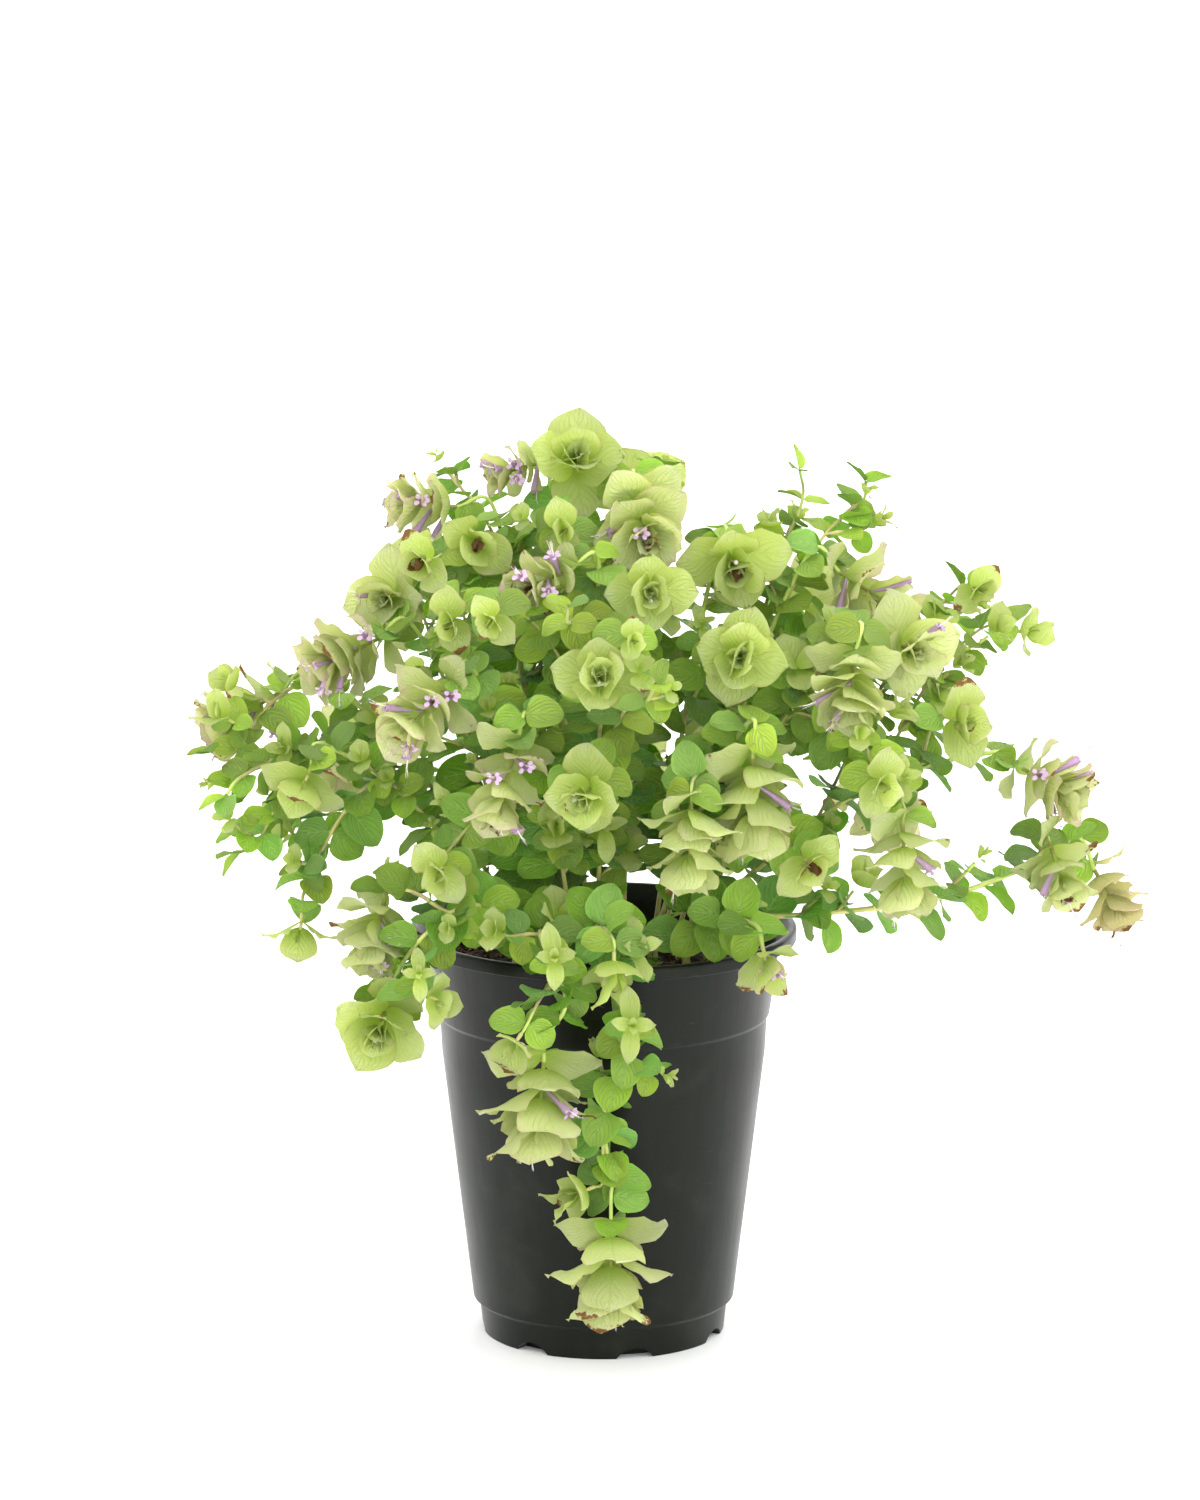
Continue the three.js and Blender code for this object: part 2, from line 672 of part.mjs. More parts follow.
// An arm leaves its start by the lead point, arches over and comes down along what it bears. The sway
// moves its middle aside, where it would touch another stem.
function armCurve(starts, lead, arm, sway) {
  const end = armEnd(arm);
  const span = lead.distanceTo(end);
  const approach = end.clone()
    .addScaledVector(facing(arm), -Math.min(approachShare * span, longestApproach));
  const middle = lead.clone().lerp(approach, middleShare)
    .add(new THREE.Vector3(...sway))
    .addScaledVector(up, archShare * span);
  const passed = arm.via ? arm.via.map(seen) : [middle];
  const stops = [...starts, lead, ...passed, approach, end];
  return new THREE.CatmullRomCurve3(stops, false, 'catmullrom', 0.5);
}

function rootCurve({ root, arms }, sway) {
  const [x, y] = root;
  const outward = armEnd(arms[0]).sub(new THREE.Vector3(x, y, 0)).setZ(0).normalize();
  const starts = [
    new THREE.Vector3(x, y, soilLevel - rootDepth),
    new THREE.Vector3(x, y, soilLevel + uprightRise),
  ];
  const lead = new THREE.Vector3(x, y, soilLevel + leadRise).addScaledVector(outward, leadLean);
  return armCurve(starts, lead, arms[0], sway);
}

// The ring of a run that lies nearest to a share of its way.
function nearestRing(share, steps) {
  return Math.round(share * steps);
}

// A twig forks from one of its trunk's rings, so that it stands on the trunk's faceted run.
function forkCurve(trunk, arm, sway) {
  const share = nearestRing(arm.fork, trunk.steps) / trunk.steps;
  const start = trunk.curve.getPointAt(share);
  const toward = armEnd(arm).sub(start);
  const heading = trunk.curve.getTangentAt(share)
    .lerp(toward.clone().normalize(), forkTurn)
    .normalize();
  const leadLength = Math.min(forkLeadShare * toward.length(), longestForkLead);
  return armCurve([start], start.clone().addScaledVector(heading, leadLength), arm, sway);
}

// The rings of an arm that bear leaf pairs: never one that a twig forks from.
function leafRings(arm, steps, forks) {
  const rings = [];
  for (let ring = arm.isTrunk ? 2 : 1; ring < steps; ring += ringsPerPair) {
    if (!forks.includes(ring)) rings.push(ring);
  }
  if (arm.bears === 'tip') rings.push(steps);
  return rings;
}

function armStations(arm, curve, steps, forks) {
  const half = (arm.isTrunk ? stemWidth : twigWidth) / 2;
  const leafy = leafRings(arm, steps, forks);
  const stations = [];
  for (let ring = 0; ring <= steps; ring += 1) {
    const share = ring / steps;
    const leaf = leafy.includes(ring);
    const stop = makeStation(curve.getPointAt(share), curve.getTangentAt(share), half, leaf ? half : 0);
    stations.push({ ...stop, leaf, share });
  }
  if (arm.bears === 'tip') {
    const { centre, tangent } = stations[steps];
    const bud = centre.clone().addScaledVector(tangent, budLength);
    stations.push(makeStation(bud, tangent, half * budShare));
  }
  if (arm.bears === 'cup') stations.push(...headStations(arm, cupStart));
  return carryFaces(stations, new THREE.Vector3(1, 0.2, 0));
}

// Heads: pairs of bracts, each pair across the last, on a slim core

// The stations of a head, from so far beyond the end of its arm.
function headStations(arm, start) {
  const axis = facing(arm);
  const base = armEnd(arm);
  const { spacing } = kinds[arm.bears];
  const at = (distance, half, gap) => (
    makeStation(base.clone().addScaledVector(axis, distance), axis, half, gap)
  );
  const stations = arm.head ? [at(start, coreHalf, 0)] : [];
  for (let pair = 0; pair < arm.pairs; pair += 1) {
    const half = coreHalf * (1 - (coreTaper * pair) / arm.pairs);
    stations.push({ ...at(start + firstPair + spacing * pair, half, coreHalf * 0.8), pair });
  }
  stations.push(at(start + firstPair + spacing * (arm.pairs - 1) + coreTail, coreHalf * coreTaper, 0));
  return stations;
}

// How far the middle of an arm may move aside, in the order that it is tried.
const sways = [[0, 0, 0], [10, 0, 0], [-10, 0, 0], [0, 10, 0], [0, -10, 0], [0, 0, 10]];

function growArm(arm, step, forkShares, makeCurve, trunkRun) {
  const makes = sways.map((sway) => () => {
    const curve = makeCurve(sway);
    const steps = Math.max(fewestSteps, Math.ceil(curve.getLength() / step));
    const forks = forkShares.map((share) => nearestRing(share, steps));
    const stations = armStations(arm, curve, steps, forks);
    return { node: arm.node, run: arm.seed, trunkRun, solid: runSolid(stations), curve, steps, stations };
  });
  const made = putFirstClear(makes);
  return made && { ...arm, ...made };
}

function placeArms(stem, number) {
  const node = `leafy_stem_${stem.name}`;
  const [first, ...others] = stem.arms.map((arm, place) => (
    { ...arm, node, seed: number * 10 + place, isTrunk: place === 0 }
  ));
  const forkShares = others.map(({ fork }) => fork);
  const trunk = growArm(first, stemStep, forkShares, (sway) => rootCurve(stem, sway));
  const twigs = others.map((arm) => (
    growArm(arm, twigStep, [], (sway) => forkCurve(trunk, arm, sway), trunk.run)
  ));
  return [trunk, ...twigs.filter(Boolean)];
}

// A mature head is a node of its own, just clear of the end of its arm.
function placeHead(arm) {
  const node = `bract_head_${arm.head}`;
  const stations = headStations(arm, headGap);
  const axis = stations[0].tangent;
  const level = Math.abs(axis.z) > 0.95 ? new THREE.Vector3(1, 0, 0) : up;
  const across = new THREE.Vector3().crossVectors(axis, level).normalize();
  const roll = arm.roll === undefined ? arm.seed : THREE.MathUtils.degToRad(arm.roll);
  carryFaces(stations, across.applyAxisAngle(axis, roll));
  const head = { node, run: node, stations, solid: runSolid(stations) };
  put(head);
  return { ...arm, ...head };
}

// The lean in degrees and the share of the full size that a bract is tried with, in that order.
const bractTries = [[0, 1], [-10, 1], [-22, 0.95], [8, 0.9], [-30, 0.78], [-6, 0.66], [-36, 0.6]];

// A bract of a pair, at an end of it, with a lean and a share of its full size.
function bractShape(arm, stop, end, lean, size) {
  const kind = kinds[arm.bears];
  const share = arm.pairs > 1 ? stop.pair / (arm.pairs - 1) : 0;
  const draw = (channel) => chance(arm.seed + channel, stop.pair * 2 + end) - 0.5;
  const side = (stop.pair % 2) + end;
  const opening = THREE.MathUtils.lerp(kind.open, kind.close, share) + lean + bractSpread * draw(90);
  const angle = THREE.MathUtils.degToRad(opening);
  const radial = stop.outward[side].clone().applyAxisAngle(stop.tangent, bractSwing * draw(30));
  const direction = radial.clone().multiplyScalar(Math.sin(angle))
    .addScaledVector(stop.tangent, Math.cos(angle));
  const face = stop.tangent.clone().multiplyScalar(Math.sin(angle))
    .addScaledVector(radial, -Math.cos(angle));
  const length = arm.reach * size * (1 + bractVariety * draw(50)) * (1 - innerBractTaper * share);
  const form = { ...kind, length, width: length * kind.width, edge: bractEdge };
  return { ...bladeShape(stop.centre, direction, face, form), side };
}

function growBracts(arm) {
  for (const stop of arm.stations.filter(({ pair }) => pair !== undefined)) {
    for (const end of [0, 2]) {
      const bract = putFirstClear(bractTries.map(([lean, size]) => (
        () => makeBlade(arm, stop, bractShape(arm, stop, end, lean, size))
      )));
      if (bract) stop.blades.push(bract);
    }
  }
}

// Leaves: opposite pairs, each pair across the last, smaller towards the tips

// The swing in degrees and the share of the full size that a leaf is tried with, in that order.
const leafTries = [[0, 1], [25, 1], [-25, 1], [45, 0.9], [-45, 0.9], [15, 0.7], [-15, 0.55]];

// A leaf of a pair, at an end of it, with a swing about the stem and a share of its full size.
function leafShape(arm, stop, pair, end, swing, scale) {
  const side = (pair % 2) + end;
  const draw = chance(arm.seed + 7, pair * 2 + end) - 0.5;
  const isTip = arm.bears === 'tip';
  const opening = isTip && stop.share === 1 ? tipLeafOpening : leafOpening;
  const turn = THREE.MathUtils.degToRad(swing) + leafSwing * draw;
  const radial = stop.outward[side].clone().applyAxisAngle(stop.tangent, turn);
  const direction = radial.multiplyScalar(Math.sin(opening))
    .addScaledVector(stop.tangent, Math.cos(opening));
  direction.setZ(direction.z * leafSteepness).normalize();
  const sky = new THREE.Vector3(stop.centre.x, stop.centre.y, 0)
    .setLength(leafOutwardShare)
    .add(up);
  const face = sky.addScaledVector(direction, -sky.dot(direction)).normalize();
  const taper = 1 - (isTip ? tipLeafTaper : leafTaper) * stop.share;
  const length = leafLength * scale * taper * (arm.isTrunk ? 1 : twigLeafShare) * (1 + leafVariety * draw);
  const width = (length * leafWidth) / leafLength;
  const form = { length, width, cup: leafCup, bend: leafBend, edge: leafEdge };
  return { ...bladeShape(stop.centre, direction, face, form), side };
}

function growLeaves(arm) {
  arm.stations.filter(({ leaf }) => leaf).forEach((stop, pair) => {
    for (const end of [0, 2]) {
      const leaf = putFirstClear(leafTries.map(([swing, scale]) => (
        () => makeBlade(arm, stop, leafShape(arm, stop, pair, end, swing, scale))
      )));
      if (leaf) stop.blades.push(leaf);
    }
  });
}

// Florets: slim funnels that look out of a head's mouth, beside its last bracts
function floretSolid(arm) {
  const last = arm.stations.filter(({ pair }) => pair !== undefined).pop();
  const side = (last.pair + 1) % 2;
  const direction = last.outward[side].clone().multiplyScalar(Math.sin(floretLean))
    .addScaledVector(last.tangent, Math.cos(floretLean));
  const length = floretShare * arm.reach;
  const foot = last.centre.clone().addScaledVector(last.tangent, 1);
  const funnel = new THREE.CylinderGeometry(floretMouth, floretFoot, length, 4)
    .translate(0, length / 2, 0)
    .applyQuaternion(new THREE.Quaternion().setFromUnitVectors(new THREE.Vector3(0, 1, 0), direction))
    .translate(foot.x, foot.y, foot.z);
  return toManifold(funnel);
}

// Assembly

const potPiece = { node: 'pot', run: 'pot', solid: potSolid() };
const soilPiece = { node: 'soil', run: 'soil', solid: soilSolid() };
put(potPiece);
put(soilPiece);
const arms = stems.flatMap(placeArms);
const heads = arms.filter(({ head }) => head).map(placeHead);
heads.forEach(growBracts);
arms.filter(({ bears }) => bears === 'cup').forEach(growBracts);
arms.forEach(growLeaves);
const florets = heads
  .map((arm) => ({ node: arm.node, run: arm.run, solid: floretSolid(arm) }))
  .filter(isClear);

const finishes = {
  pot: { color: colours.pot, roughness: 0.45 },
  soil: { color: colours.soil, roughness: 0.95 },
  leafy_stem: { color: colours.stem, roughness: 0.7 },
  bract_head: { color: colours.head, roughness: 0.7 },
};

const grown = [...arms, ...heads].map(({ node, stations }) => ({ node, solid: runSolid(stations) }));
const pieces = [potPiece, soilPiece, ...grown, ...florets];
const plant = new THREE.Group();
for (const node of new Set(pieces.map((piece) => piece.node))) {
  const solids = pieces.filter((piece) => piece.node === node).map((piece) => piece.solid);
  const kind = Object.keys(finishes).find((name) => node.startsWith(name));
  const material = new THREE.MeshStandardMaterial({ ...finishes[kind], metalness: 0 });
  const mesh = new THREE.Mesh(fromManifold(fuse(solids)), material);
  mesh.name = node;
  plant.add(mesh);
}

export default plant;
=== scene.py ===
# A potted oregano with hop-like heads of pale bracts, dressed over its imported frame.
# Metres, +Z up. The origin is the middle of the pot's underside, and -Y faces the viewer.

from bisect import bisect_right
from dataclasses import dataclass, field, replace
from itertools import accumulate
from math import asin, atan2, cos, degrees, exp, floor, pi, radians, sin, sqrt
from random import Random

import bmesh
import bpy
import numpy as np
from mathutils import Euler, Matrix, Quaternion, Vector
from mathutils.bvhtree import BVHTree


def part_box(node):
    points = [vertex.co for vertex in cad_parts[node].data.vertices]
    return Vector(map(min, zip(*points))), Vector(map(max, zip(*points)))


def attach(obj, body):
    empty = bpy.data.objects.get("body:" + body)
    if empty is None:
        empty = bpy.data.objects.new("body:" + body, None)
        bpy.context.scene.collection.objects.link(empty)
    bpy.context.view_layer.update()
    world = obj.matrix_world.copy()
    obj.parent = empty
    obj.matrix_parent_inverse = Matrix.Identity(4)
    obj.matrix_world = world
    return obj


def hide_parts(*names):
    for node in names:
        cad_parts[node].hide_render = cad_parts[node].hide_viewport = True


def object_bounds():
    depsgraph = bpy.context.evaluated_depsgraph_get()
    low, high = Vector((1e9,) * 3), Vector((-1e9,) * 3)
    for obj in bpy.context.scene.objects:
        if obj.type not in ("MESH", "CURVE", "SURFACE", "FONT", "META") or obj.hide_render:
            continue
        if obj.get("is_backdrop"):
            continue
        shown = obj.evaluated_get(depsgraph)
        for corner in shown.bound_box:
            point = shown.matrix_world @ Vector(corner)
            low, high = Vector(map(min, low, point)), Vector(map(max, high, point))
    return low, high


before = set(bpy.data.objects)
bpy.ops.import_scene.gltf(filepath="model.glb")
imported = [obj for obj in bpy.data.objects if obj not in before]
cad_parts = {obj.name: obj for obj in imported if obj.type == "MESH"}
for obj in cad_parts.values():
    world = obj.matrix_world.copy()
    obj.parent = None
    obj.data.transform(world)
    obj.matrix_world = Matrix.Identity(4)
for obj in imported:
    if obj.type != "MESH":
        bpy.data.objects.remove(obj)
cad_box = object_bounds()

# Pot
POT_HEIGHT = 0.178
LIP_RADIUS = 0.0825
LIP_DEPTH = 0.0056
COLLAR_FOOT = 0.139
COLLAR_RADIUS = 0.0711
COLLAR_TOP_RADIUS = 0.0755
SHOULDER_HEIGHT = 0.124
SHOULDER_RADIUS = 0.0692
SKIRT_HEIGHT = 0.015
SKIRT_TOP_RADIUS = 0.056
SKIRT_RADIUS = 0.0533
FOOT_RADIUS = 0.0518
WALL = 0.0018
HUB_RADIUS = 0.030
CHANNEL_RISE = 0.004
CHANNEL_RADIUS = 0.043
HUB_SLOPE = 0.0012
CREASE_HEIGHT = 0.002
RIDGE_DEPTH = 0.0011
RIDGE_HEIGHT = 0.0015
EDGE_ROUND = 0.0009
MOUTH_RADIUS = 0.0795
MOUTH_DEPTH = 0.007
INNER_FOOT_RADIUS = 0.0508
POT_SIDES = 252
SOFTEN_FROM = radians(18)
SOFTEN_BY = 0.0005
SOFTEN_STEPS = 3
SHARP_FROM = radians(32)
NOTCH_COUNT = 7
FIRST_NOTCH = radians(15)
NOTCH_RADIUS = 0.0095
NOTCH_HEIGHT = 0.0046
NOTCH_LENGTH = 0.014
DRAIN_COUNT = 5
DRAIN_RADIUS = 0.0035
DRAIN_LENGTH = 5 * CHANNEL_RISE
CUTTER_SIDES = 48

# Soil, and the crumbs, root fibres and seedlings on it: how far out they lie, and their sizes
SOIL_LEVEL = 0.162
SOIL_EDGE_DEPTH = 0.004
SWELL_HEIGHT = 0.0021
LUMP_HEIGHT = 0.0012
GRAIN_HEIGHT = 0.0006
SOIL_GAP = 0.00035
SOIL_SIDES = 144
SOIL_RINGS = 52
ROOT_DEPTH = 0.005
CRUMB_COUNT = 1500
CRUMB_REACH = 0.069
CRUMB_SIZES = (0.0005, 0.0013)
CLOD_SIZES = (0.0014, 0.0024)
CRUMB_SHARE = 0.88
FIBRE_COUNT = 260
FIBRE_REACH = 0.066
FIBRE_LENGTHS = (0.005, 0.018)
FIBRE_RADII = (0.00016, 0.00045)
FIBRE_RISE = 0.0025
FIBRE_STEPS = 5
SEEDLING_COUNT = 7
SEEDLING_REACH = 0.05
SEEDLING_HEIGHTS = (0.004, 0.009)
SEEDLING_SWAY = 0.002
SEEDLING_RADII = [0.0004, 0.00035, 0.0003]
SEEDLING_LEAVES = (0.0048, 0.0032)

# Stems, as in the solids: widths, the steps along them, and how they rise and arch
STEM_WIDTH = 0.002
TWIG_WIDTH = 0.0015
STEM_STEP = 0.027
TWIG_STEP = 0.028
FEWEST_STEPS = 3
UPRIGHT_RISE = 0.008
LEAD_RISE = 0.022
LEAD_LEAN = 0.003
FIRST_FACE = Vector((1, 0.2, 0))
FORK_TURN = 0.4
FORK_LEAD_SHARE = 0.15
LONGEST_FORK_LEAD = 0.012
MIDDLE_SHARE = 0.52
ARCH_SHARE = 0.1
APPROACH_SHARE = 0.16
LONGEST_APPROACH = 0.016
SWAYS = [(0, 0, 0), (0.01, 0, 0), (-0.01, 0, 0), (0, 0.01, 0), (0, -0.01, 0), (0, 0, 0.01)]

# Fine stems: how they taper, and how they swell where leaves stand
STEM_FACET = 0.0022
FEWEST_FACETS = 8
STEM_SHADES = (0.85, 1.15)
STEM_TAPER = 0.22
SWELLING = 0.28
SWELLING_LENGTH = 0.0018
TWIG_BROWNNESS = 0.55

# Leaves, as in the solids
RINGS_PER_PAIR = 2
LEAF_LENGTH = 0.023
LEAF_WIDTH = 0.020
LEAF_TAPER = 0.28
TIP_LEAF_TAPER = 0.45
TWIG_LEAF_SHARE = 0.95
LEAF_VARIETY = 0.2
LEAF_OPENING = radians(72)
TIP_LEAF_OPENING = radians(34)
LEAF_SWING = radians(28)
LEAF_STEEPNESS = 0.7
LEAF_OUTWARD_SHARE = 0.5
LEAF_CUP = 0.09
LEAF_BEND = -0.45
LEAF_TRIES = [(0, 1), (25, 1), (-25, 1), (45, 0.9), (-45, 0.9), (15, 0.7), (-15, 0.55)]

# Heads, as in the solids
HEAD_GAP = 0.00035
CUP_START = 0.001
FIRST_PAIR = 0.0024
CORE_HALF = 0.0015
BRACT_VARIETY = 0.16
INNER_BRACT_TAPER = 0.08
BRACT_SWING = 0.3
BRACT_SPREAD = 10
FLORET_LEAN = radians(24)
FLORET_SHARE = 0.72
BRACT_TRIES = [(0, 1), (-10, 1), (-22, 0.95), (8, 0.9), (-30, 0.78), (-6, 0.66), (-36, 0.6)]

# How near a blade's margin, and a run's corners on average, lie to the solid that they are found in
BLADE_FIT = 0.0003
RUN_FIT = 0.0003

# Blades stand in pairs, at the first and third or at the second and fourth face of a square stem
ENDS = (0, 2)
SEEDS_PER_ARM = 40
COLLAR_SEED = 30

# Margins of the fine blades: how far along, and the half width there as a share of the width
LEAF_MARGIN = [(0, 0.03), (0.06, 0.035), (0.085, 0.17), (0.13, 0.32), (0.21, 0.43), (0.32, 0.49),
               (0.45, 0.5), (0.58, 0.475), (0.7, 0.42), (0.81, 0.335), (0.9, 0.23), (0.96, 0.13),
               (1, 0.015)]
BRACT_MARGIN = [(0, 0.06), (0.05, 0.19), (0.13, 0.3), (0.24, 0.385), (0.36, 0.44), (0.49, 0.475),
                (0.61, 0.475), (0.72, 0.435), (0.82, 0.34), (0.9, 0.215), (0.96, 0.1), (1, 0.008)]
CORNERS = {"leaf": [(0.32, 0.48), (0.74, 0.44)], "bract": [(0.38, 0.42), (0.72, 0.44)]}

# Fine leaves: their relief as shares of their length, and how they vary in shade, age and coolness
LEAF_THICKNESS = 0.00035
SMALL_LEAF = 0.0125
LEAF_COLUMNS = 7
SMALL_LEAF_COLUMNS = 5
LEAF_WAVES = (1.5, 2.5)
LEAF_WAVE_SHIFT = 0.25
LEAF_RIPPLE = 0.02
LEAF_HOLLOW = 0.03
LEAF_SHADES = (0.78, 1.22)
UNDERSIDE_SHADE = 1.08
YOUTH_VARIETY = 0.6
LEAF_COOLNESS = 0.85

# How young a leaf looks: at the least, more so along its arm, out at the plant's sides, and high up
LEAST_YOUTH = 0.06
TIP_YOUTH = (0.3, 0.95)
TRUNK_YOUTH = 0.44
TWIG_YOUTH = 0.54
SIDE_YOUTH = 0.4
HIGH_YOUTH = 0.24
HIGH = (0.2, 0.33)
PLANT_REACH = 0.22
SHOOT_YOUTH = 0.65

# Fine bracts
BRACT_COLUMNS = 9
BRACT_WAVES = (1.2, 2.8)
BRACT_WAVE_SHIFT = 0.3
BRACT_RIPPLE = 0.055
BRACT_CREASE = 0.02
BRACT_SHADES = (0.8, 1.06)
# Inner bracts are painted lighter by this share: painted light against the shade deep in a head
INNER_BRACT_PAINTED_LIGHT = 0.04
CORE_SHARES = (0.62, 0.42)
CORE_OVERTOP = 0.002
CORE_RINGS = 6

# Extra leaves between those of the solids: where the bare foot of an arm ends, and their own forms
CLEARANCE = 0.0003
FAN_START = 0.12
LEAF_SPACING = 0.0095
LEAF_APART = 0.3
BARE_TRUNK = 0.26
BARE_TWIG = 0.1
EXTRA_LEAF_SHARE = 0.96
FREE_LEAN_ACROSS = (-0.9, 0.9)
FREE_LEAN_AHEAD = (0.15, -1.15)
FREE_CUP = (0.02, 0.2)
FREE_BEND = (-0.95, -0.12)

# Extra bracts: a few that fill a hop, the openings and sizes of those that close a head, and the
# pair of leafy ones behind a hanging hop
FILLER_SHARE = 0.55
FILLER_SIZE = 0.9
FILLER_CLOSING = 5
CLOSING_OPENINGS = {
    "hop": [(40, 0.82), (24, 0.66), (10, 0.45)],
    "rose": [(26, 0.62), (18, 0.48), (8, 0.34)],
    "cup": [(14, 0.5)],
}
CLOSING_STEP = 0.0012
CLOSING_TURN = 0.3
COLLAR_DROP = 10
COLLAR_OPENING = radians(74)
COLLAR_SHARE = 0.92
COLLAR_FACING = 1.1
COLLAR_SETBACK = 0.004
COLLAR_TRIES = (1, 0.8, 0.6)
COLLAR_WIDTH = 0.85
COLLAR_CUP = 0.12
COLLAR_BEND = -0.4

# Young side shoots: where they stand, how they head and end, and the cup and leaves that they bear
SHOOT_SPACING = 0.0145
SHOOT_PLACES = (0.35, 0.85)
SHOOT_START = 0.25
SHOOT_END = 0.82
TIP_SHOOT_END = 0.93
SHOOT_LENGTH = (0.009, 0.024)
SHOOT_ALONG = 0.55
SHOOT_ASIDE = 0.8
SHOOT_RISE = 0.45
SHOOT_OUTWARD = 0.35
SHOOT_END_RISE = 0.5
SHOOT_END_OUTWARD = 0.3
SHOOT_END_AHEAD = Vector((0, -0.35, 0))
SHOOT_OVERTOP = 0.004
SHOOT_REACH = (0.0065, 0.017)
SHOOT_REACH_POWER = 1.4
SHOOT_LEAN = (-44, 6)
SHOOT_LEAN_POWER = 0.55
SHOOT_BRACT_TAPER = 0.25
SHOOT_LEAF_PLACES = (0.4, 0.75)
SHOOT_LEAF_SHARE = 0.66
SHOOT_LEAD = 0.35
SHOOT_APPROACH = 0.25
SHOOT_STEPS = 3
SPRIG_PAIRS = 2
TUFT_PAIRS = 3
TUFT_CHANCE = 0.34

# How each tint of head looks
FLARE = {"pale": 0.16, "lime": 0.06, "pink": 0.12, "dry": 0.1}
BLUSH = {"pale": 0.22, "lime": 0.1, "pink": 0.58, "dry": 0.4}
SCORCH = {"pale": 0.62, "lime": 0.4, "pink": 0.66, "dry": 0.9}
FLORETS = {"pale": 1, "lime": 0, "pink": 4, "dry": 0}

# Florets: the funnel's outline, the turn and size of each lobe, and the stamens
FLORET_PROFILE = [(0, 0.0006), (0.35, 0.0008), (0.6, 0.0012), (0.82, 0.0017), (1, 0.0018)]
FLORET_MOUTH = FLORET_PROFILE[-1][1]
FLORET_LOBES = [(-0.6, 0.0026), (0.6, 0.0024), (pi - 0.75, 0.0024), (pi + 0.75, 0.0023), (pi, 0.003)]
FLORET_MARGIN = [(0, 0.25), (0.35, 0.42), (0.7, 0.44), (1, 0.12)]
FLORET_SHADES = (0.85, 1.15)
FLORET_SIZES = (0.85, 1.1)
FLORET_SETBACK = 0.002
LOBE_COLUMNS = 5
LOBE_WIDTH = 0.85
LOBE_CUP = 0.1
LOBE_BEND = -0.9
LOBE_SHADE = 1.06
STAMEN_COUNT = 4
STAMEN_LENGTH = 0.0065
STAMEN_SIZES = (0.75, 1.25)
STAMEN_RADIUS = 0.00009
ANTHER = [(-0.0003, 0.0001), (0, 0.00028), (0.0004, 0.00006)]
BUD_PROFILE = [(0, 0.0004), (0.5, 0.0006), (0.8, 0.0011), (0.95, 0.0008), (1, 0.0001)]
BUD_SHARE = 0.8

# Brown curled remains at the mouth of a head
SCRAP_COUNT = 3
SCRAP_SIZES = (0.007, 0.013)
SCRAP_OPENINGS = (20, 55)
SCRAP_SETBACK = 0.18
SCRAP_WIDTH = 0.5
SCRAP_CUP = 0.5
SCRAP_BEND = 1.2
SCRAP_COLUMNS = 5

# The camera, which the plant's places are read through: a 1200 x 1500 picture
PICTURE_WIDTH = 1200
PICTURE_HEIGHT = 1500
FOCAL = 7479
EYE = Vector((-0.0015, -3.111, 0.9075))
PITCH = radians(11.863)
SENSOR = 36

# The room: its floor, its sky, and the lamps with their places, sizes and powers
FLOOR_REACH = 20
SKY_STRENGTH = 1.9
LIT_POINT = Vector((0, 0, 0.2))
LAMPS = [
    ("key_light", (-1.4, -2.4, 3.0), 2.2, 10),
    ("front_light", (0.5, -3.8, 0.7), 3.0, 104, False),
    ("fill_light", (2.4, -1.4, 1.8), 2.0, 16),
    ("back_light", (0.6, 2.6, 2.4), 2.0, 36),
]

UP = Vector((0, 0, 1))

# The tone that leaves a colour as it is
PLAIN = 0.5


@dataclass
class Kind:
    """A kind of head: the angles of its first and last bracts, its spacing, and the bracts' form."""

    open: float
    close: float
    spacing: float
    width: float
    cup: float
    bend: float


KINDS = {
    "hop": Kind(78, 52, 0.0062, 1.02, 0.15, 0.35),
    "rose": Kind(80, 30, 0.004, 1, 0.13, 0.28),
    "cup": Kind(68, 26, 0.0028, 1, 0.13, 0.3),
    "sprig": Kind(78, 54, 0.0026, 0.92, 0.1, 0.22),
    "tuft": Kind(64, 22, 0.0022, 0.5, 0.16, -0.3),
}


@dataclass
class Arm:
    """A stem or twig with what it bears: a tip of leaves, a cup of bracts, or a head named by head.

    It ends at a place seen in the picture, or at a point, and turn and drop say where it faces there:
    degrees to the right of the viewer, and down. It forks from its stem at a share of that stem's
    length, and may pass via other places. A roll turns its bracts round it.
    """

    bears: str
    turn: float
    drop: float
    seen: tuple = None
    at: tuple = None
    head: str = None
    fork: float = None
    reach: float = 0
    pairs: int = 0
    via: list = field(default_factory=list)
    roll: float = None
    tint: str = "pale"
    scraps: bool = False
    node: str = ""
    seed: int = 0
    is_trunk: bool = False
    curve: object = None
    steps: int = 0
    stations: list = field(default_factory=list)


@dataclass
class Stem:
    """A stem of the plant: its first arm is the stem itself, and the others fork from it."""

    name: str
    root: tuple
    arms: list


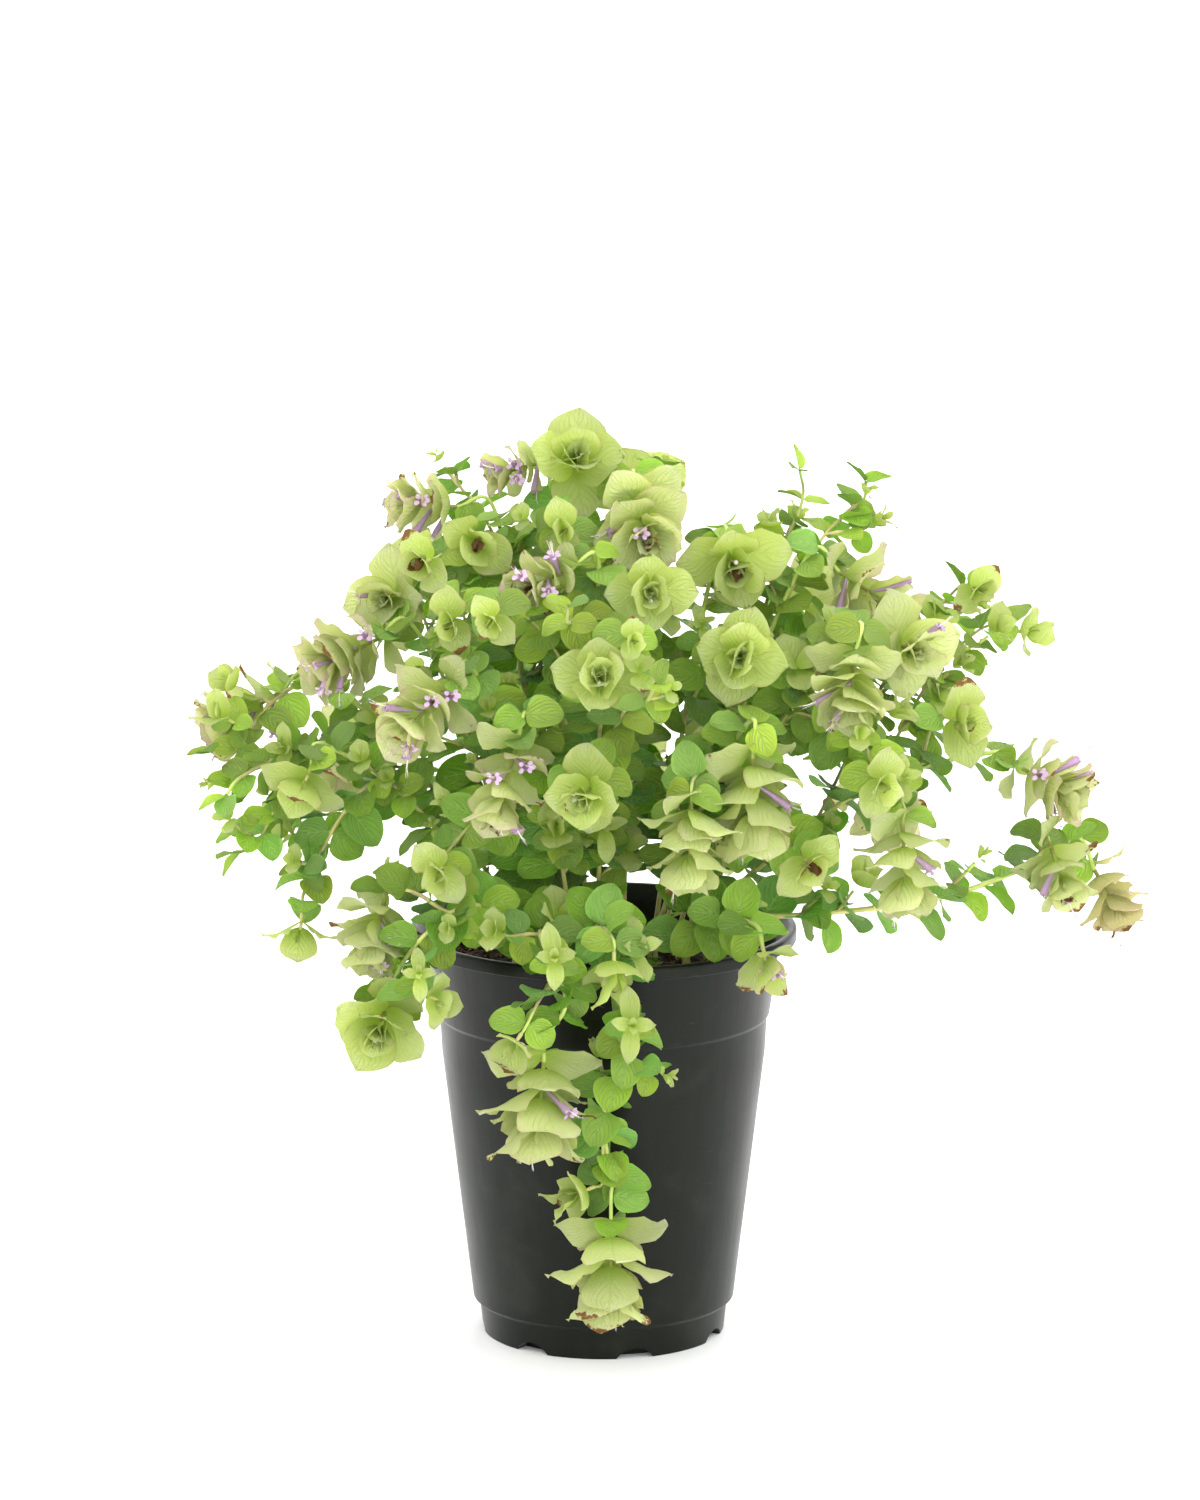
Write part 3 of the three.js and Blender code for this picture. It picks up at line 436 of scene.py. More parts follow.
STEMS = [
    Stem("crown", (-0.006, 0.004), [
        Arm("rose", head="crown", reach=0.026, pairs=3, tint="lime",
            seen=(575, 458, 0.020), turn=5, drop=-32),
        Arm("hop", head="crown_side", fork=0.78, reach=0.016, pairs=3, tint="pink",
            seen=(521, 468, -0.012), turn=-70, drop=12),
        Arm("cup", fork=0.62, reach=0.014, pairs=2,
            seen=(563, 530, 0.062), turn=0, drop=-10),
    ]),
    Stem("high_centre", (0.008, -0.006), [
        Arm("hop", head="high_centre", reach=0.024, pairs=4, scraps=True,
            seen=(642, 520, 0.045), turn=8, drop=22),
        Arm("rose", head="upper_rose", fork=0.55, reach=0.020, pairs=3, tint="lime",
            seen=(650, 592, 0.088), turn=4, drop=-4),
        Arm("tip", fork=0.8,
            seen=(655, 472, 0.000), turn=20, drop=-70),
    ]),
    Stem("high_left", (-0.020, 0.000), [
        Arm("hop", head="high_left", reach=0.020, pairs=3, tint="pink",
            seen=(428, 506, 0.005), turn=-78, drop=-4),
        Arm("cup", fork=0.7, reach=0.016, pairs=2,
            seen=(424, 562, 0.048), turn=-30, drop=0, scraps=True),
        Arm("cup", fork=0.6, reach=0.019, pairs=2,
            seen=(476, 542, 0.040), turn=12, drop=8, scraps=True),
        Arm("tip", fork=0.82,
            seen=(456, 474, -0.025), turn=-30, drop=-60),
    ]),
    Stem("upper_side", (-0.012, -0.014), [
        Arm("hop", head="upper_side", reach=0.017, pairs=3, tint="pink", scraps=True,
            seen=(545, 580, 0.080), turn=-55, drop=12),
        Arm("cup", fork=0.6, reach=0.013, pairs=2,
            seen=(492, 620, 0.108), turn=-10, drop=10),
        Arm("tip", fork=0.7,
            seen=(568, 606, 0.112), turn=0, drop=-50),
    ]),
    Stem("left", (-0.030, -0.006), [
        Arm("hop", head="left_shoulder", reach=0.022, pairs=4, tint="pink", scraps=True,
            seen=(346, 655, 0.045), turn=-62, drop=20),
        Arm("rose", head="left_pale", fork=0.66, reach=0.023, pairs=3,
            seen=(388, 598, 0.015), turn=-25, drop=0),
        Arm("cup", fork=0.45, reach=0.016, pairs=2,
            seen=(450, 622, 0.082), turn=-10, drop=5),
    ]),
    Stem("far_left", (-0.038, 0.008), [
        Arm("hop", head="far_left", reach=0.024, pairs=4, tint="pink",
            seen=(246, 712, 0.010), turn=-80, drop=28),
        Arm("tip", fork=0.82,
            seen=(212, 752, 0.038), turn=-60, drop=-20),
        Arm("tip", fork=0.6,
            seen=(226, 795, 0.052), turn=-40, drop=30),
    ]),
    Stem("left_low", (-0.038, -0.018), [
        Arm("cup", reach=0.021, pairs=2,
            seen=(302, 788, 0.062), turn=-20, drop=32),
        Arm("cup", fork=0.62, reach=0.017, pairs=2,
            seen=(300, 934, 0.056), turn=-20, drop=72),
        Arm("tip", fork=0.8,
            seen=(240, 852, 0.040), turn=-60, drop=20),
    ]),
    Stem("left_mid", (-0.022, -0.026), [
        Arm("hop", head="left_mid", reach=0.022, pairs=4, tint="pink",
            seen=(424, 712, 0.098), turn=-42, drop=30),
        Arm("cup", fork=0.4, reach=0.016, pairs=2,
            seen=(440, 872, 0.112), turn=-5, drop=10),
    ]),
    Stem("centre", (-0.002, -0.022), [
        Arm("rose", head="centre_rose", reach=0.022, pairs=3, tint="lime",
            seen=(600, 677, 0.118), turn=0, drop=-20),
        Arm("cup", fork=0.72, reach=0.010, pairs=2,
            seen=(632, 640, 0.120), turn=10, drop=0),
        Arm("tip", fork=0.62,
            seen=(656, 684, 0.138), turn=20, drop=-40),
    ]),
    Stem("centre_low", (-0.012, -0.038), [
        Arm("hop", head="centre_side", reach=0.022, pairs=4, tint="pink", scraps=True,
            seen=(505, 785, 0.108), turn=-32, drop=58),
        Arm("rose", head="centre_cup", fork=0.5, reach=0.021, pairs=3, tint="lime",
            seen=(586, 795, 0.128), turn=-15, drop=14),
    ]),
    Stem("left_rim", (-0.034, -0.036), [
        Arm("rose", head="left_rim", reach=0.026, pairs=4, tint="lime",
            seen=(380, 1028, 0.102), turn=-10, drop=26,
            via=[(470, 905, 0.092), (420, 940, 0.104)]),
        Arm("hop", head="left_low", fork=0.5, reach=0.023, pairs=3, scraps=True,
            seen=(378, 930, 0.092), turn=-25, drop=62),
        Arm("cup", fork=0.66, reach=0.014, pairs=2,
            seen=(438, 1000, 0.120), turn=50, drop=10),
    ]),
    Stem("trailing", (0.004, -0.044), [
        Arm("hop", head="trail_end", reach=0.027, pairs=4,
            seen=(611, 1272, 0.092), turn=0, drop=84, roll=90,
            via=[(596, 930, 0.092), (628, 1030, 0.104), (604, 1110, 0.094), (612, 1180, 0.088)]),
        Arm("cup", fork=0.3, reach=0.021, pairs=2,
            seen=(614, 978, 0.122), turn=0, drop=66),
        Arm("cup", fork=0.76, reach=0.020, pairs=2,
            seen=(572, 1196, 0.092), turn=-72, drop=18),
    ]),
    Stem("front_left", (-0.020, -0.050), [
        Arm("hop", head="front_left", reach=0.029, pairs=4,
            seen=(540, 1106, 0.112), turn=-18, drop=74, roll=75,
            via=[(540, 935, 0.096), (566, 1000, 0.114)]),
        Arm("cup", fork=0.7, reach=0.017, pairs=1,
            seen=(512, 1048, 0.128), turn=-40, drop=40),
    ]),
    Stem("right_centre", (0.022, -0.024), [
        Arm("hop", head="right_centre", reach=0.028, pairs=4, scraps=True,
            seen=(754, 802, 0.100), turn=8, drop=78, roll=45),
        Arm("hop", head="centre_hop", fork=0.62, reach=0.023, pairs=4,
            seen=(690, 842, 0.118), turn=-12, drop=80, roll=20),
        Arm("cup", fork=0.42, reach=0.017, pairs=2,
            seen=(808, 864, 0.096), turn=12, drop=10, scraps=True),
    ]),
    Stem("right_rose", (0.020, -0.008), [
        Arm("rose", head="pale_right", reach=0.026, pairs=3, tint="lime", scraps=True,
            seen=(735, 566, 0.038), turn=10, drop=16),
        Arm("rose", head="right_rose", fork=0.5, reach=0.022, pairs=4, tint="lime",
            seen=(740, 656, 0.084), turn=2, drop=-4),
    ]),
    Stem("upper_right", (0.032, 0.006), [
        Arm("hop", head="upper_right", reach=0.022, pairs=4, tint="pink",
            seen=(870, 592, 0.018), turn=60, drop=26),
        Arm("rose", head="cream_right", fork=0.62, reach=0.024, pairs=3,
            seen=(912, 650, 0.056), turn=30, drop=0),
        Arm("tip", fork=0.55,
            seen=(800, 470, -0.025), turn=-10, drop=-70),
        Arm("tip", fork=0.7,
            seen=(866, 482, -0.035), turn=30, drop=-70),
    ]),
    Stem("right_mid", (0.036, -0.016), [
        Arm("hop", head="right_mid", reach=0.023, pairs=3,
            seen=(852, 690, 0.088), turn=-8, drop=56),
        Arm("hop", head="right_low", fork=0.6, reach=0.024, pairs=4,
            seen=(905, 865, 0.082), turn=12, drop=74, roll=30),
        Arm("cup", fork=0.7, reach=0.016, pairs=2,
            seen=(882, 784, 0.104), turn=10, drop=10),
    ]),
    Stem("right_reach", (0.044, 0.004), [
        Arm("hop", head="right_reach", reach=0.022, pairs=3, tint="pink",
            seen=(1050, 782, 0.022), turn=72, drop=22),
        Arm("cup", fork=0.66, reach=0.021, pairs=2,
            seen=(962, 722, 0.044), turn=30, drop=0),
        Arm("cup", fork=0.46, reach=0.015, pairs=2,
            seen=(977, 590, -0.020), turn=20, drop=-10),
        Arm("cup", fork=0.54, reach=0.014, pairs=2,
            seen=(1030, 632, 0.000), turn=70, drop=0),
    ]),
    Stem("far_right", (0.048, -0.016), [
        Arm("hop", head="far_right_dry", reach=0.019, pairs=3, tint="dry", scraps=True,
            seen=(1108, 895, -0.005), turn=62, drop=58,
            via=[(800, 915, 0.030), (930, 900, 0.030), (1030, 866, 0.010)]),
        Arm("hop", head="far_right", fork=0.74, reach=0.020, pairs=3, scraps=True,
            seen=(1058, 868, 0.030), turn=25, drop=50),
    ]),
    Stem("rim_right", (0.034, -0.044), [
        Arm("cup", reach=0.019, pairs=2, tint="pink",
            seen=(768, 966, 0.104), turn=20, drop=46),
    ]),
    Stem("back_left", (-0.022, 0.026), [
        Arm("rose", head="back_left_high", reach=0.023, pairs=3, tint="lime",
            at=(-0.078, 0.092, 0.318), turn=-140, drop=0),
        Arm("hop", head="back_left_low", fork=0.5, reach=0.024, pairs=4, tint="pink",
            at=(-0.112, 0.118, 0.226), turn=-125, drop=50),
        Arm("cup", fork=0.6, reach=0.017, pairs=2,
            at=(-0.040, 0.138, 0.262), turn=170, drop=10),
    ]),
    Stem("back_middle", (0.002, 0.036), [
        Arm("rose", head="back_top", reach=0.023, pairs=3, tint="lime",
            at=(0.018, 0.072, 0.356), turn=170, drop=-20),
        Arm("hop", head="back_middle", fork=0.42, reach=0.026, pairs=4,
            at=(0.010, 0.150, 0.216), turn=175, drop=60),
        Arm("cup", fork=0.7, reach=0.016, pairs=2,
            at=(-0.004, 0.112, 0.316), turn=-170, drop=0),
    ]),
    Stem("back_right", (0.028, 0.026), [
        Arm("hop", head="back_right_high", reach=0.023, pairs=4,
            at=(0.092, 0.096, 0.300), turn=140, drop=0),
        Arm("hop", head="back_right_low", fork=0.5, reach=0.023, pairs=4, tint="pink",
            at=(0.122, 0.112, 0.208), turn=130, drop=55),
        Arm("cup", fork=0.7, reach=0.017, pairs=2,
            at=(0.058, 0.136, 0.256), turn=165, drop=10),
    ]),
]


def chance(first, second):
    """A seeded draw from 0 to 1. The two numbers only keep it apart from the other draws."""
    wave = sin(first * 12.9898 + second * 78.233) * 43758.5453
    return wave - floor(wave)


def mix(one, other, share):
    return one + (other - one) * share


def soft_step(low, high, value):
    share = np.clip((value - low) / (high - low), 0, 1)
    return share * share * (3 - 2 * share)


def turned(vector, axis, angle):
    """A copy of a vector, turned round an axis."""
    copy = vector.copy()
    copy.rotate(Quaternion(axis, angle))
    return copy


def squared(wanted, direction):
    """The direction nearest to the wanted one that stands square to another."""
    return (wanted - direction * wanted.dot(direction)).normalized()


def beside(direction, steep):
    """A level direction square to another, also where that one is steep."""
    hint = Vector((1, 0, 0)) if abs(direction.z) > steep else UP
    return direction.cross(hint).normalized()


def outward_from(point):
    """The level direction from the pot's axis to a point."""
    return Vector((point.x, point.y, 0)).normalized()


def seen_point(column, row, front):
    """The point at a picture place, so far in front of the pot's axis."""
    across = (column - PICTURE_WIDTH / 2) / FOCAL
    rise = (PICTURE_HEIGHT / 2 - row) / FOCAL
    ray = Vector((across, cos(PITCH) + rise * sin(PITCH), rise * cos(PITCH) - sin(PITCH)))
    return EYE + ray * ((-front - EYE.y) / ray.y)


class Curve:
    """A smooth way through its stops, told by the share of its length."""

    DIVISIONS = 200
    REACH = 1e-4

    def __init__(self, stops):
        self.stops = np.array([stops[0] * 2 - stops[1], *stops, stops[-1] * 2 - stops[-2]])
        places = np.array([self.place(i / self.DIVISIONS) for i in range(self.DIVISIONS + 1)])
        pieces = np.linalg.norm(np.diff(places, axis=0), axis=1)
        self.lengths = [0.0, *accumulate(pieces)]
        self.length = self.lengths[-1]

    def place(self, share):
        spans = len(self.stops) - 3
        first = min(int(share * spans), spans - 1)
        t = share * spans - first
        before, near, far, after = self.stops[first:first + 4]
        leaving = (far - before) / 2
        coming = (after - near) / 2
        square = 3 * (far - near) - 2 * leaving - coming
        cube = 2 * (near - far) + leaving + coming
        return near + t * (leaving + t * (square + t * cube))

    def parameter(self, share):
        target = share * self.length
        first = min(bisect_right(self.lengths, target) - 1, self.DIVISIONS - 1)
        piece = self.lengths[first + 1] - self.lengths[first]
        return (first + (target - self.lengths[first]) / piece) / self.DIVISIONS

    def point(self, share):
        return Vector(self.place(self.parameter(share)))

    def tangent(self, share):
        middle = self.parameter(share)
        ahead = self.place(min(middle + self.REACH, 1))
        behind = self.place(max(middle - self.REACH, 0))
        return Vector((ahead - behind) / self.REACH).normalized()


# Layout: the same arms, stations and blades as the solids have


@dataclass
class Station:
    """A place along a run, with the directions that its faces look in."""

    centre: Vector
    tangent: Vector
    leaf: bool = False
    share: float = 0
    pair: int = None
    outward: list = None


@dataclass
class Blade:
    """A leaf or bract: it grows from its foot in a direction, with one face up."""

    foot: Vector
    direction: Vector
    face: Vector
    length: float
    width: float
    cup: float
    bend: float
    kind: str
    share: float = 0
    youth: float = 0

    def place(self, along, across, lift=0.0):
        angle = self.bend * along
        side = self.direction.cross(self.face).normalized()
        normal = self.face * cos(angle) - self.direction * sin(angle)
        return (self.foot
                + self.direction * (self.length * sin(angle) / self.bend)
                + self.face * (self.length * (1 - cos(angle)) / self.bend)
                + side * (self.width * across)
                + normal * (4 * self.cup * self.width * across * across + lift))

    def corners(self):
        edge = CORNERS[self.kind]
        right = [self.place(along, across) for along, across in edge]
        left = [self.place(along, -across) for along, across in edge]
        return [*right, self.place(1, 0), *reversed(left)]


def facing(arm):
    side, fall = radians(arm.turn), radians(arm.drop)
    return Vector((sin(side) * cos(fall), -cos(side) * cos(fall), -sin(fall)))


def head_length(arm):
    kind = KINDS[arm.bears]
    return kind.spacing * (arm.pairs - 1) + arm.reach * cos(radians(kind.close))


def arm_end(arm):
    middle = Vector(arm.at) if arm.at else seen_point(*arm.seen)
    half = 0 if arm.bears == "tip" else head_length(arm) / 2
    return middle - facing(arm) * half


def arm_curve(starts, lead, arm, sway):
    end = arm_end(arm)
    span = (lead - end).length
    approach = end - facing(arm) * min(APPROACH_SHARE * span, LONGEST_APPROACH)
    middle = lead.lerp(approach, MIDDLE_SHARE) + Vector(sway) + UP * (ARCH_SHARE * span)
    passed = [seen_point(*place) for place in arm.via] or [middle]
    return Curve([*starts, lead, *passed, approach, end])


def root_curve(root, arm, sway):
    x, y = root
    outward = arm_end(arm) - Vector((x, y, 0))
    outward.z = 0
    starts = [Vector((x, y, SOIL_LEVEL - ROOT_DEPTH)), Vector((x, y, SOIL_LEVEL + UPRIGHT_RISE))]
    lead = Vector((x, y, SOIL_LEVEL + LEAD_RISE)) + outward.normalized() * LEAD_LEAN
    return arm_curve(starts, lead, arm, sway)


def nearest_ring(share, steps):
    return floor(share * steps + 0.5)


def fork_curve(trunk, arm, sway):
    share = nearest_ring(arm.fork, trunk.steps) / trunk.steps
    start = trunk.curve.point(share)
    toward = arm_end(arm) - start
    heading = trunk.curve.tangent(share).lerp(toward.normalized(), FORK_TURN).normalized()
    lead = start + heading * min(FORK_LEAD_SHARE * toward.length, LONGEST_FORK_LEAD)
    return arm_curve([start], lead, arm, sway)


def leaf_rings(arm, steps, forks):
    first = 2 if arm.is_trunk else 1
    rings = [ring for ring in range(first, steps, RINGS_PER_PAIR) if ring not in forks]
    return rings + [steps] if arm.bears == "tip" else rings


def carry_faces(stations, first_normal):
    """Gives each station its four faces, carried along the run without a twist."""
    normal = first_normal.copy()
    for stop in stations:
        normal = squared(normal, stop.tangent)
        binormal = stop.tangent.cross(normal)
        stop.outward = [binormal, -normal, -binormal, normal.copy()]
    return stations


def head_stations(arm, start):
    axis = facing(arm)
    base = arm_end(arm)
    stations = [Station(base + axis * start, axis)] if arm.head else []
    for pair in range(arm.pairs):
        distance = start + FIRST_PAIR + KINDS[arm.bears].spacing * pair
        stations.append(Station(base + axis * distance, axis, pair=pair))
    return stations


def arm_stations(arm, curve, steps, forks):
    leafy = leaf_rings(arm, steps, forks)
    stations = []
    for ring in range(steps + 1):
        share = ring / steps
        stop = Station(curve.point(share), curve.tangent(share), leaf=ring in leafy, share=share)
        stations.append(stop)
    if arm.bears != "tip" and not arm.head:
        stations += head_stations(arm, CUP_START)
    return carry_faces(stations, FIRST_FACE)


def leaf_stops(arm):
    return [stop for stop in arm.stations if stop.leaf]


def bract_stops(arm):
    return [stop for stop in arm.stations if stop.pair is not None]


def nearest_stop(arm, share):
    return min(arm.stations[:arm.steps + 1], key=lambda stop: abs(stop.share - share))


def solid_tree(name):
    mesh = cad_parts[name].data
    points = [vertex.co for vertex in mesh.vertices]
    return BVHTree.FromPolygons(points, [tuple(face.vertices) for face in mesh.polygons])


TREES = {name: solid_tree(name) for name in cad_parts}


def gaps(tree, points):
    return [tree.find_nearest(point)[3] for point in points]


def mean_gap(tree, stations, half):
    """How far the corners of a run lie from a solid on average."""
    corners = [stop.centre + (face + other) * half for stop in stations
               for face, other in zip(stop.outward, stop.outward[1:] + stop.outward[:1])]
    return sum(gaps(tree, corners)) / len(corners)


def half_width(arm):
    return (STEM_WIDTH if arm.is_trunk else TWIG_WIDTH) / 2


def grown_arm(arm, step, fork_shares, make_curve):
    """The arm along the way that its solid takes, or nothing if the solid lacks it."""
    ways = []
    for sway in SWAYS:
        curve = make_curve(sway)
        steps = max(FEWEST_STEPS, -int(-curve.length // step))
        forks = [nearest_ring(share, steps) for share in fork_shares]
        stations = arm_stations(arm, curve, steps, forks)
        gap = mean_gap(TREES[arm.node], stations[1:steps], half_width(arm))
        ways.append((gap, curve, steps, stations))
    gap, curve, steps, stations = min(ways, key=lambda way: way[0])
    if gap > RUN_FIT:
        return None
    return replace(arm, curve=curve, steps=steps, stations=stations)


def stem_arms(stem, number):
    """The stem's arms that its solid has, the stem itself first."""
    node = f"leafy_stem_{stem.name}"
    first, *others = [replace(arm, node=node, seed=number * 10 + place, is_trunk=place == 0)
                      for place, arm in enumerate(stem.arms)]
    fork_shares = [arm.fork for arm in others]
    trunk = grown_arm(first, STEM_STEP, fork_shares, lambda sway: root_curve(stem.root, first, sway))
    twigs = [grown_arm(arm, TWIG_STEP, [], lambda sway, arm=arm: fork_curve(trunk, arm, sway))
             for arm in others]
    return [trunk, *(twig for twig in twigs if twig)]


def grown_head(arm):
    stations = head_stations(arm, HEAD_GAP)
    axis = stations[0].tangent
    roll = arm.seed if arm.roll is None else radians(arm.roll)
    carry_faces(stations, turned(beside(axis, 0.95), axis, roll))
    return replace(arm, node=f"bract_head_{arm.head}", stations=stations)


def opened(axis, radial, angle):
    """Where a blade that stands off an axis by an angle points, and where its face looks."""
    return radial * sin(angle) + axis * cos(angle), axis * sin(angle) - radial * cos(angle)


def petal(arm, foot, axis, radial, angle, length, share):
    """A bract of the arm's kind."""
    kind = KINDS[arm.bears]
    direction, face = opened(axis, radial, angle)
    return Blade(foot, direction, face, length, length * kind.width, kind.cup, kind.bend, "bract", share)


def bract_blade(arm, stop, end, lean, size):
    """One of a pair of bracts. The first argument of each draw only keeps it apart."""
    kind = KINDS[arm.bears]
    share = stop.pair / (arm.pairs - 1) if arm.pairs > 1 else 0

    def draw(channel):
        return chance(arm.seed + channel, stop.pair * 2 + end) - 0.5

    angle = radians(mix(kind.open, kind.close, share) + lean + BRACT_SPREAD * draw(90))
    radial = turned(stop.outward[stop.pair % 2 + end], stop.tangent, BRACT_SWING * draw(30))
    length = arm.reach * size * (1 + BRACT_VARIETY * draw(50)) * (1 - INNER_BRACT_TAPER * share)
    return petal(arm, stop.centre, stop.tangent, radial, angle, length, share)


def leaf_blade(arm, stop, pair, end, swing, scale, lean=Vector()):
    """One of a pair of leaves: it leans out and lies flatter than its stem, with its face to the sky."""
    draw = chance(arm.seed + 7, pair * 2 + end) - 0.5
    is_tip = arm.bears == "tip"
    opening = TIP_LEAF_OPENING if is_tip and stop.share == 1 else LEAF_OPENING
    radial = turned(stop.outward[pair % 2 + end], stop.tangent, radians(swing) + LEAF_SWING * draw)
    direction = radial * sin(opening) + stop.tangent * cos(opening)
    direction.z *= LEAF_STEEPNESS
    direction.normalize()
    sky = outward_from(stop.centre) * LEAF_OUTWARD_SHARE + UP + lean
    taper = 1 - (TIP_LEAF_TAPER if is_tip else LEAF_TAPER) * stop.share
    twig_share = 1 if arm.is_trunk else TWIG_LEAF_SHARE
    length = LEAF_LENGTH * scale * taper * twig_share * (1 + LEAF_VARIETY * draw)
    width = length * LEAF_WIDTH / LEAF_LENGTH
    return Blade(stop.centre, direction, squared(sky, direction), length, width, LEAF_CUP, LEAF_BEND,
                 "leaf", stop.share)


def found(node, blades):
    """The first of the blades whose margin lies in the node's solid, in a list, or an empty one."""
    return next(([blade] for blade in blades if max(gaps(TREES[node], blade.corners())) < BLADE_FIT), [])


def solid_bracts(arm):
    """The bracts that the arm's solid has."""
    blades = []
    for stop in bract_stops(arm):
        for end in ENDS:
            blades += found(arm.node, (bract_blade(arm, stop, end, *way) for way in BRACT_TRIES))
    return blades


def solid_leaves(arm):
    """The leaves that the arm's solid has."""
    blades = []
    for pair, stop in enumerate(leaf_stops(arm)):
        for end in ENDS:
            blades += found(arm.node, (leaf_blade(arm, stop, pair, end, *way) for way in LEAF_TRIES))
    return blades


# Extra blades, where the plant has more than the solids hold

placed = [(*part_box(name), TREES[name], name) for name in TREES]


def fan_tree(blade):
    """A few-sided copy of a blade, clear of its foot, to test what it would cross."""
    rim = [blade.place(FAN_START, 0), *blade.corners()]
    points = [*rim, blade.place(0.5, 0)]
    fan = [(i, (i + 1) % len(rim), len(rim)) for i in range(len(rim))]
    return points, BVHTree.FromPolygons(points, fan)


def is_clear(blade, own=None):
    """Whether a blade crosses nothing that is placed but its own node. If so, it is placed too."""
    points, tree = fan_tree(blade)
    low = np.min(points, axis=0) - CLEARANCE
    high = np.max(points, axis=0) + CLEARANCE
    for other_low, other_high, other, name in placed:
        apart = np.any(low > np.array(other_high)) or np.any(np.array(other_low) > high)
        if apart or name == own:
            continue
        if tree.overlap(other) or min(gaps(other, points)) < CLEARANCE:
            return False
    placed.append((low, high, tree, own))
    return True


def first_clear(blades, own=None):
    """The first of the blades that has room, in a list, or an empty one."""
    return next(([blade] for blade in blades if is_clear(blade, own)), [])


def free_lean(first, second):
    """How a leaf that the solids lack turns its face: mostly to the front, where the light is."""
    across = mix(*FREE_LEAN_ACROSS, chance(first, second))
    ahead = mix(*FREE_LEAN_AHEAD, chance(first + 3, second))
    return Vector((across, ahead, 0))


def free_form(blade, first, second):
    """Such a leaf, folded along its rib and curled along its length in its own way."""
    cup = mix(*FREE_CUP, chance(first + 5, second))
    bend = mix(*FREE_BEND, chance(first + 8, second))
    return replace(blade, cup=cup, bend=bend)


def free_stop(arm, share, outward):
    return Station(arm.curve.point(share), arm.curve.tangent(share), share=share, outward=outward)


def extra_leaves(arm):
    """Leaf pairs between those that the solid has, where there is room."""
    count = int(arm.curve.length / LEAF_SPACING)
    kept = [stop.share for stop in leaf_stops(arm)]
    bare = BARE_TRUNK if arm.is_trunk else BARE_TWIG
    ring = 1 / arm.steps
    shares = [(i + 0.5) / count for i in range(count)]
    free = [share for share in shares
            if share > bare and all(abs(share - other) > LEAF_APART * ring for other in kept)]
    blades = []
    for pair, share in enumerate(free):
        stop = free_stop(arm, share, nearest_stop(arm, share).outward)
        for end in ENDS:
            draws = (arm.seed + 260, pair * 2 + end)
            ways = (leaf_blade(arm, stop, pair + 1, end, swing, EXTRA_LEAF_SHARE * scale, free_lean(*draws))
                    for swing, scale in LEAF_TRIES)
            blades += first_clear(free_form(blade, *draws) for blade in ways)
    return blades


def inner_bract(arm, centre, stop, end, turn, opening, size, share):
    draw = chance(arm.seed + 170, stop.pair * 4 + end + turn) - 0.5
    angle = radians(opening + BRACT_SPREAD * draw)
    radial = turned(stop.outward[end], stop.tangent, turn + BRACT_SWING * draw)
    length = arm.reach * size * (1 + BRACT_VARIETY * draw)
    return petal(arm, centre, stop.tangent, radial, angle, length, share)


def hop_fillers(arm):
    """A few bracts between the pairs of a hop."""
    kind = KINDS[arm.bears]
    pairs = bract_stops(arm)
    blades = []
    for near, far in zip(pairs, pairs[1:]):
        share = (near.pair + 0.5) / (arm.pairs - 1)
        turn = pi / 4 + near.pair % 2 * pi / 2
        opening = mix(kind.open, kind.close, share) - FILLER_CLOSING
        centre = near.centre.lerp(far.centre, 0.5)
        for end in ENDS:
            if chance(arm.seed + 150, near.pair * 2 + end) <= FILLER_SHARE:
                blades.append(inner_bract(arm, centre, near, end, turn, opening, FILLER_SIZE, share))
    return blades


def closing_bracts(arm):
    """The small bracts that close a head or cup."""
    last = bract_stops(arm)[-1]
    blades = []
    for step, (opening, size) in enumerate(CLOSING_OPENINGS[arm.bears]):
        centre = last.centre + last.tangent * (CLOSING_STEP * (step + 1))
        turn = (last.pair + 1 + step) % 2 * pi / 2 + CLOSING_TURN
        for end in ENDS:
            blades.append(inner_bract(arm, centre, last, end, turn, opening, size, 1))
    return blades


def all_bracts(arm):
    fillers = hop_fillers(arm) if arm.bears == "hop" else []
    return solid_bracts(arm) + fillers + closing_bracts(arm)


def collar(arm):
    """The pair of leafy bracts on the stem just behind a hanging head."""
    base = arm.stations[0]
    foot = base.centre - base.tangent * COLLAR_SETBACK
    blades = []
    for radial in base.outward[1::2]:
        direction, face = opened(base.tangent, radial, COLLAR_OPENING)
        face = squared(face + outward_from(base.centre) * COLLAR_FACING, direction)
        lengths = [arm.reach * COLLAR_SHARE * size for size in COLLAR_TRIES]
        ways = (Blade(foot, direction, face, reach, reach * COLLAR_WIDTH, COLLAR_CUP, COLLAR_BEND, "bract")
                for reach in lengths)
        blades += first_clear(ways, arm.node)
    return blades


def side_shoots(arm):
    """Young shoots from the leaf axils of an arm, each with its cup of bracts and its leaves."""
    count = max(1, int(arm.curve.length / SHOOT_SPACING))
    highest = max(stop.centre.z for stop in arm.stations[:arm.steps + 1])
    end = TIP_SHOOT_END if arm.bears == "tip" else SHOOT_END
    shoots = []
    for place in range(count):
        share = (place + mix(*SHOOT_PLACES, chance(arm.seed, 200 + place))) / count
        if not SHOOT_START < share < end:
            continue
        shoot = side_shoot(arm, share, place)
        if shoot.curve.point(1).z > highest + SHOOT_OVERTOP:
            continue
        cup = shoot_cup(shoot)
        if all(is_clear(blade) for blade in cup):
            shoots.append((shoot, cup, small_leaves(shoot)))
    return shoots


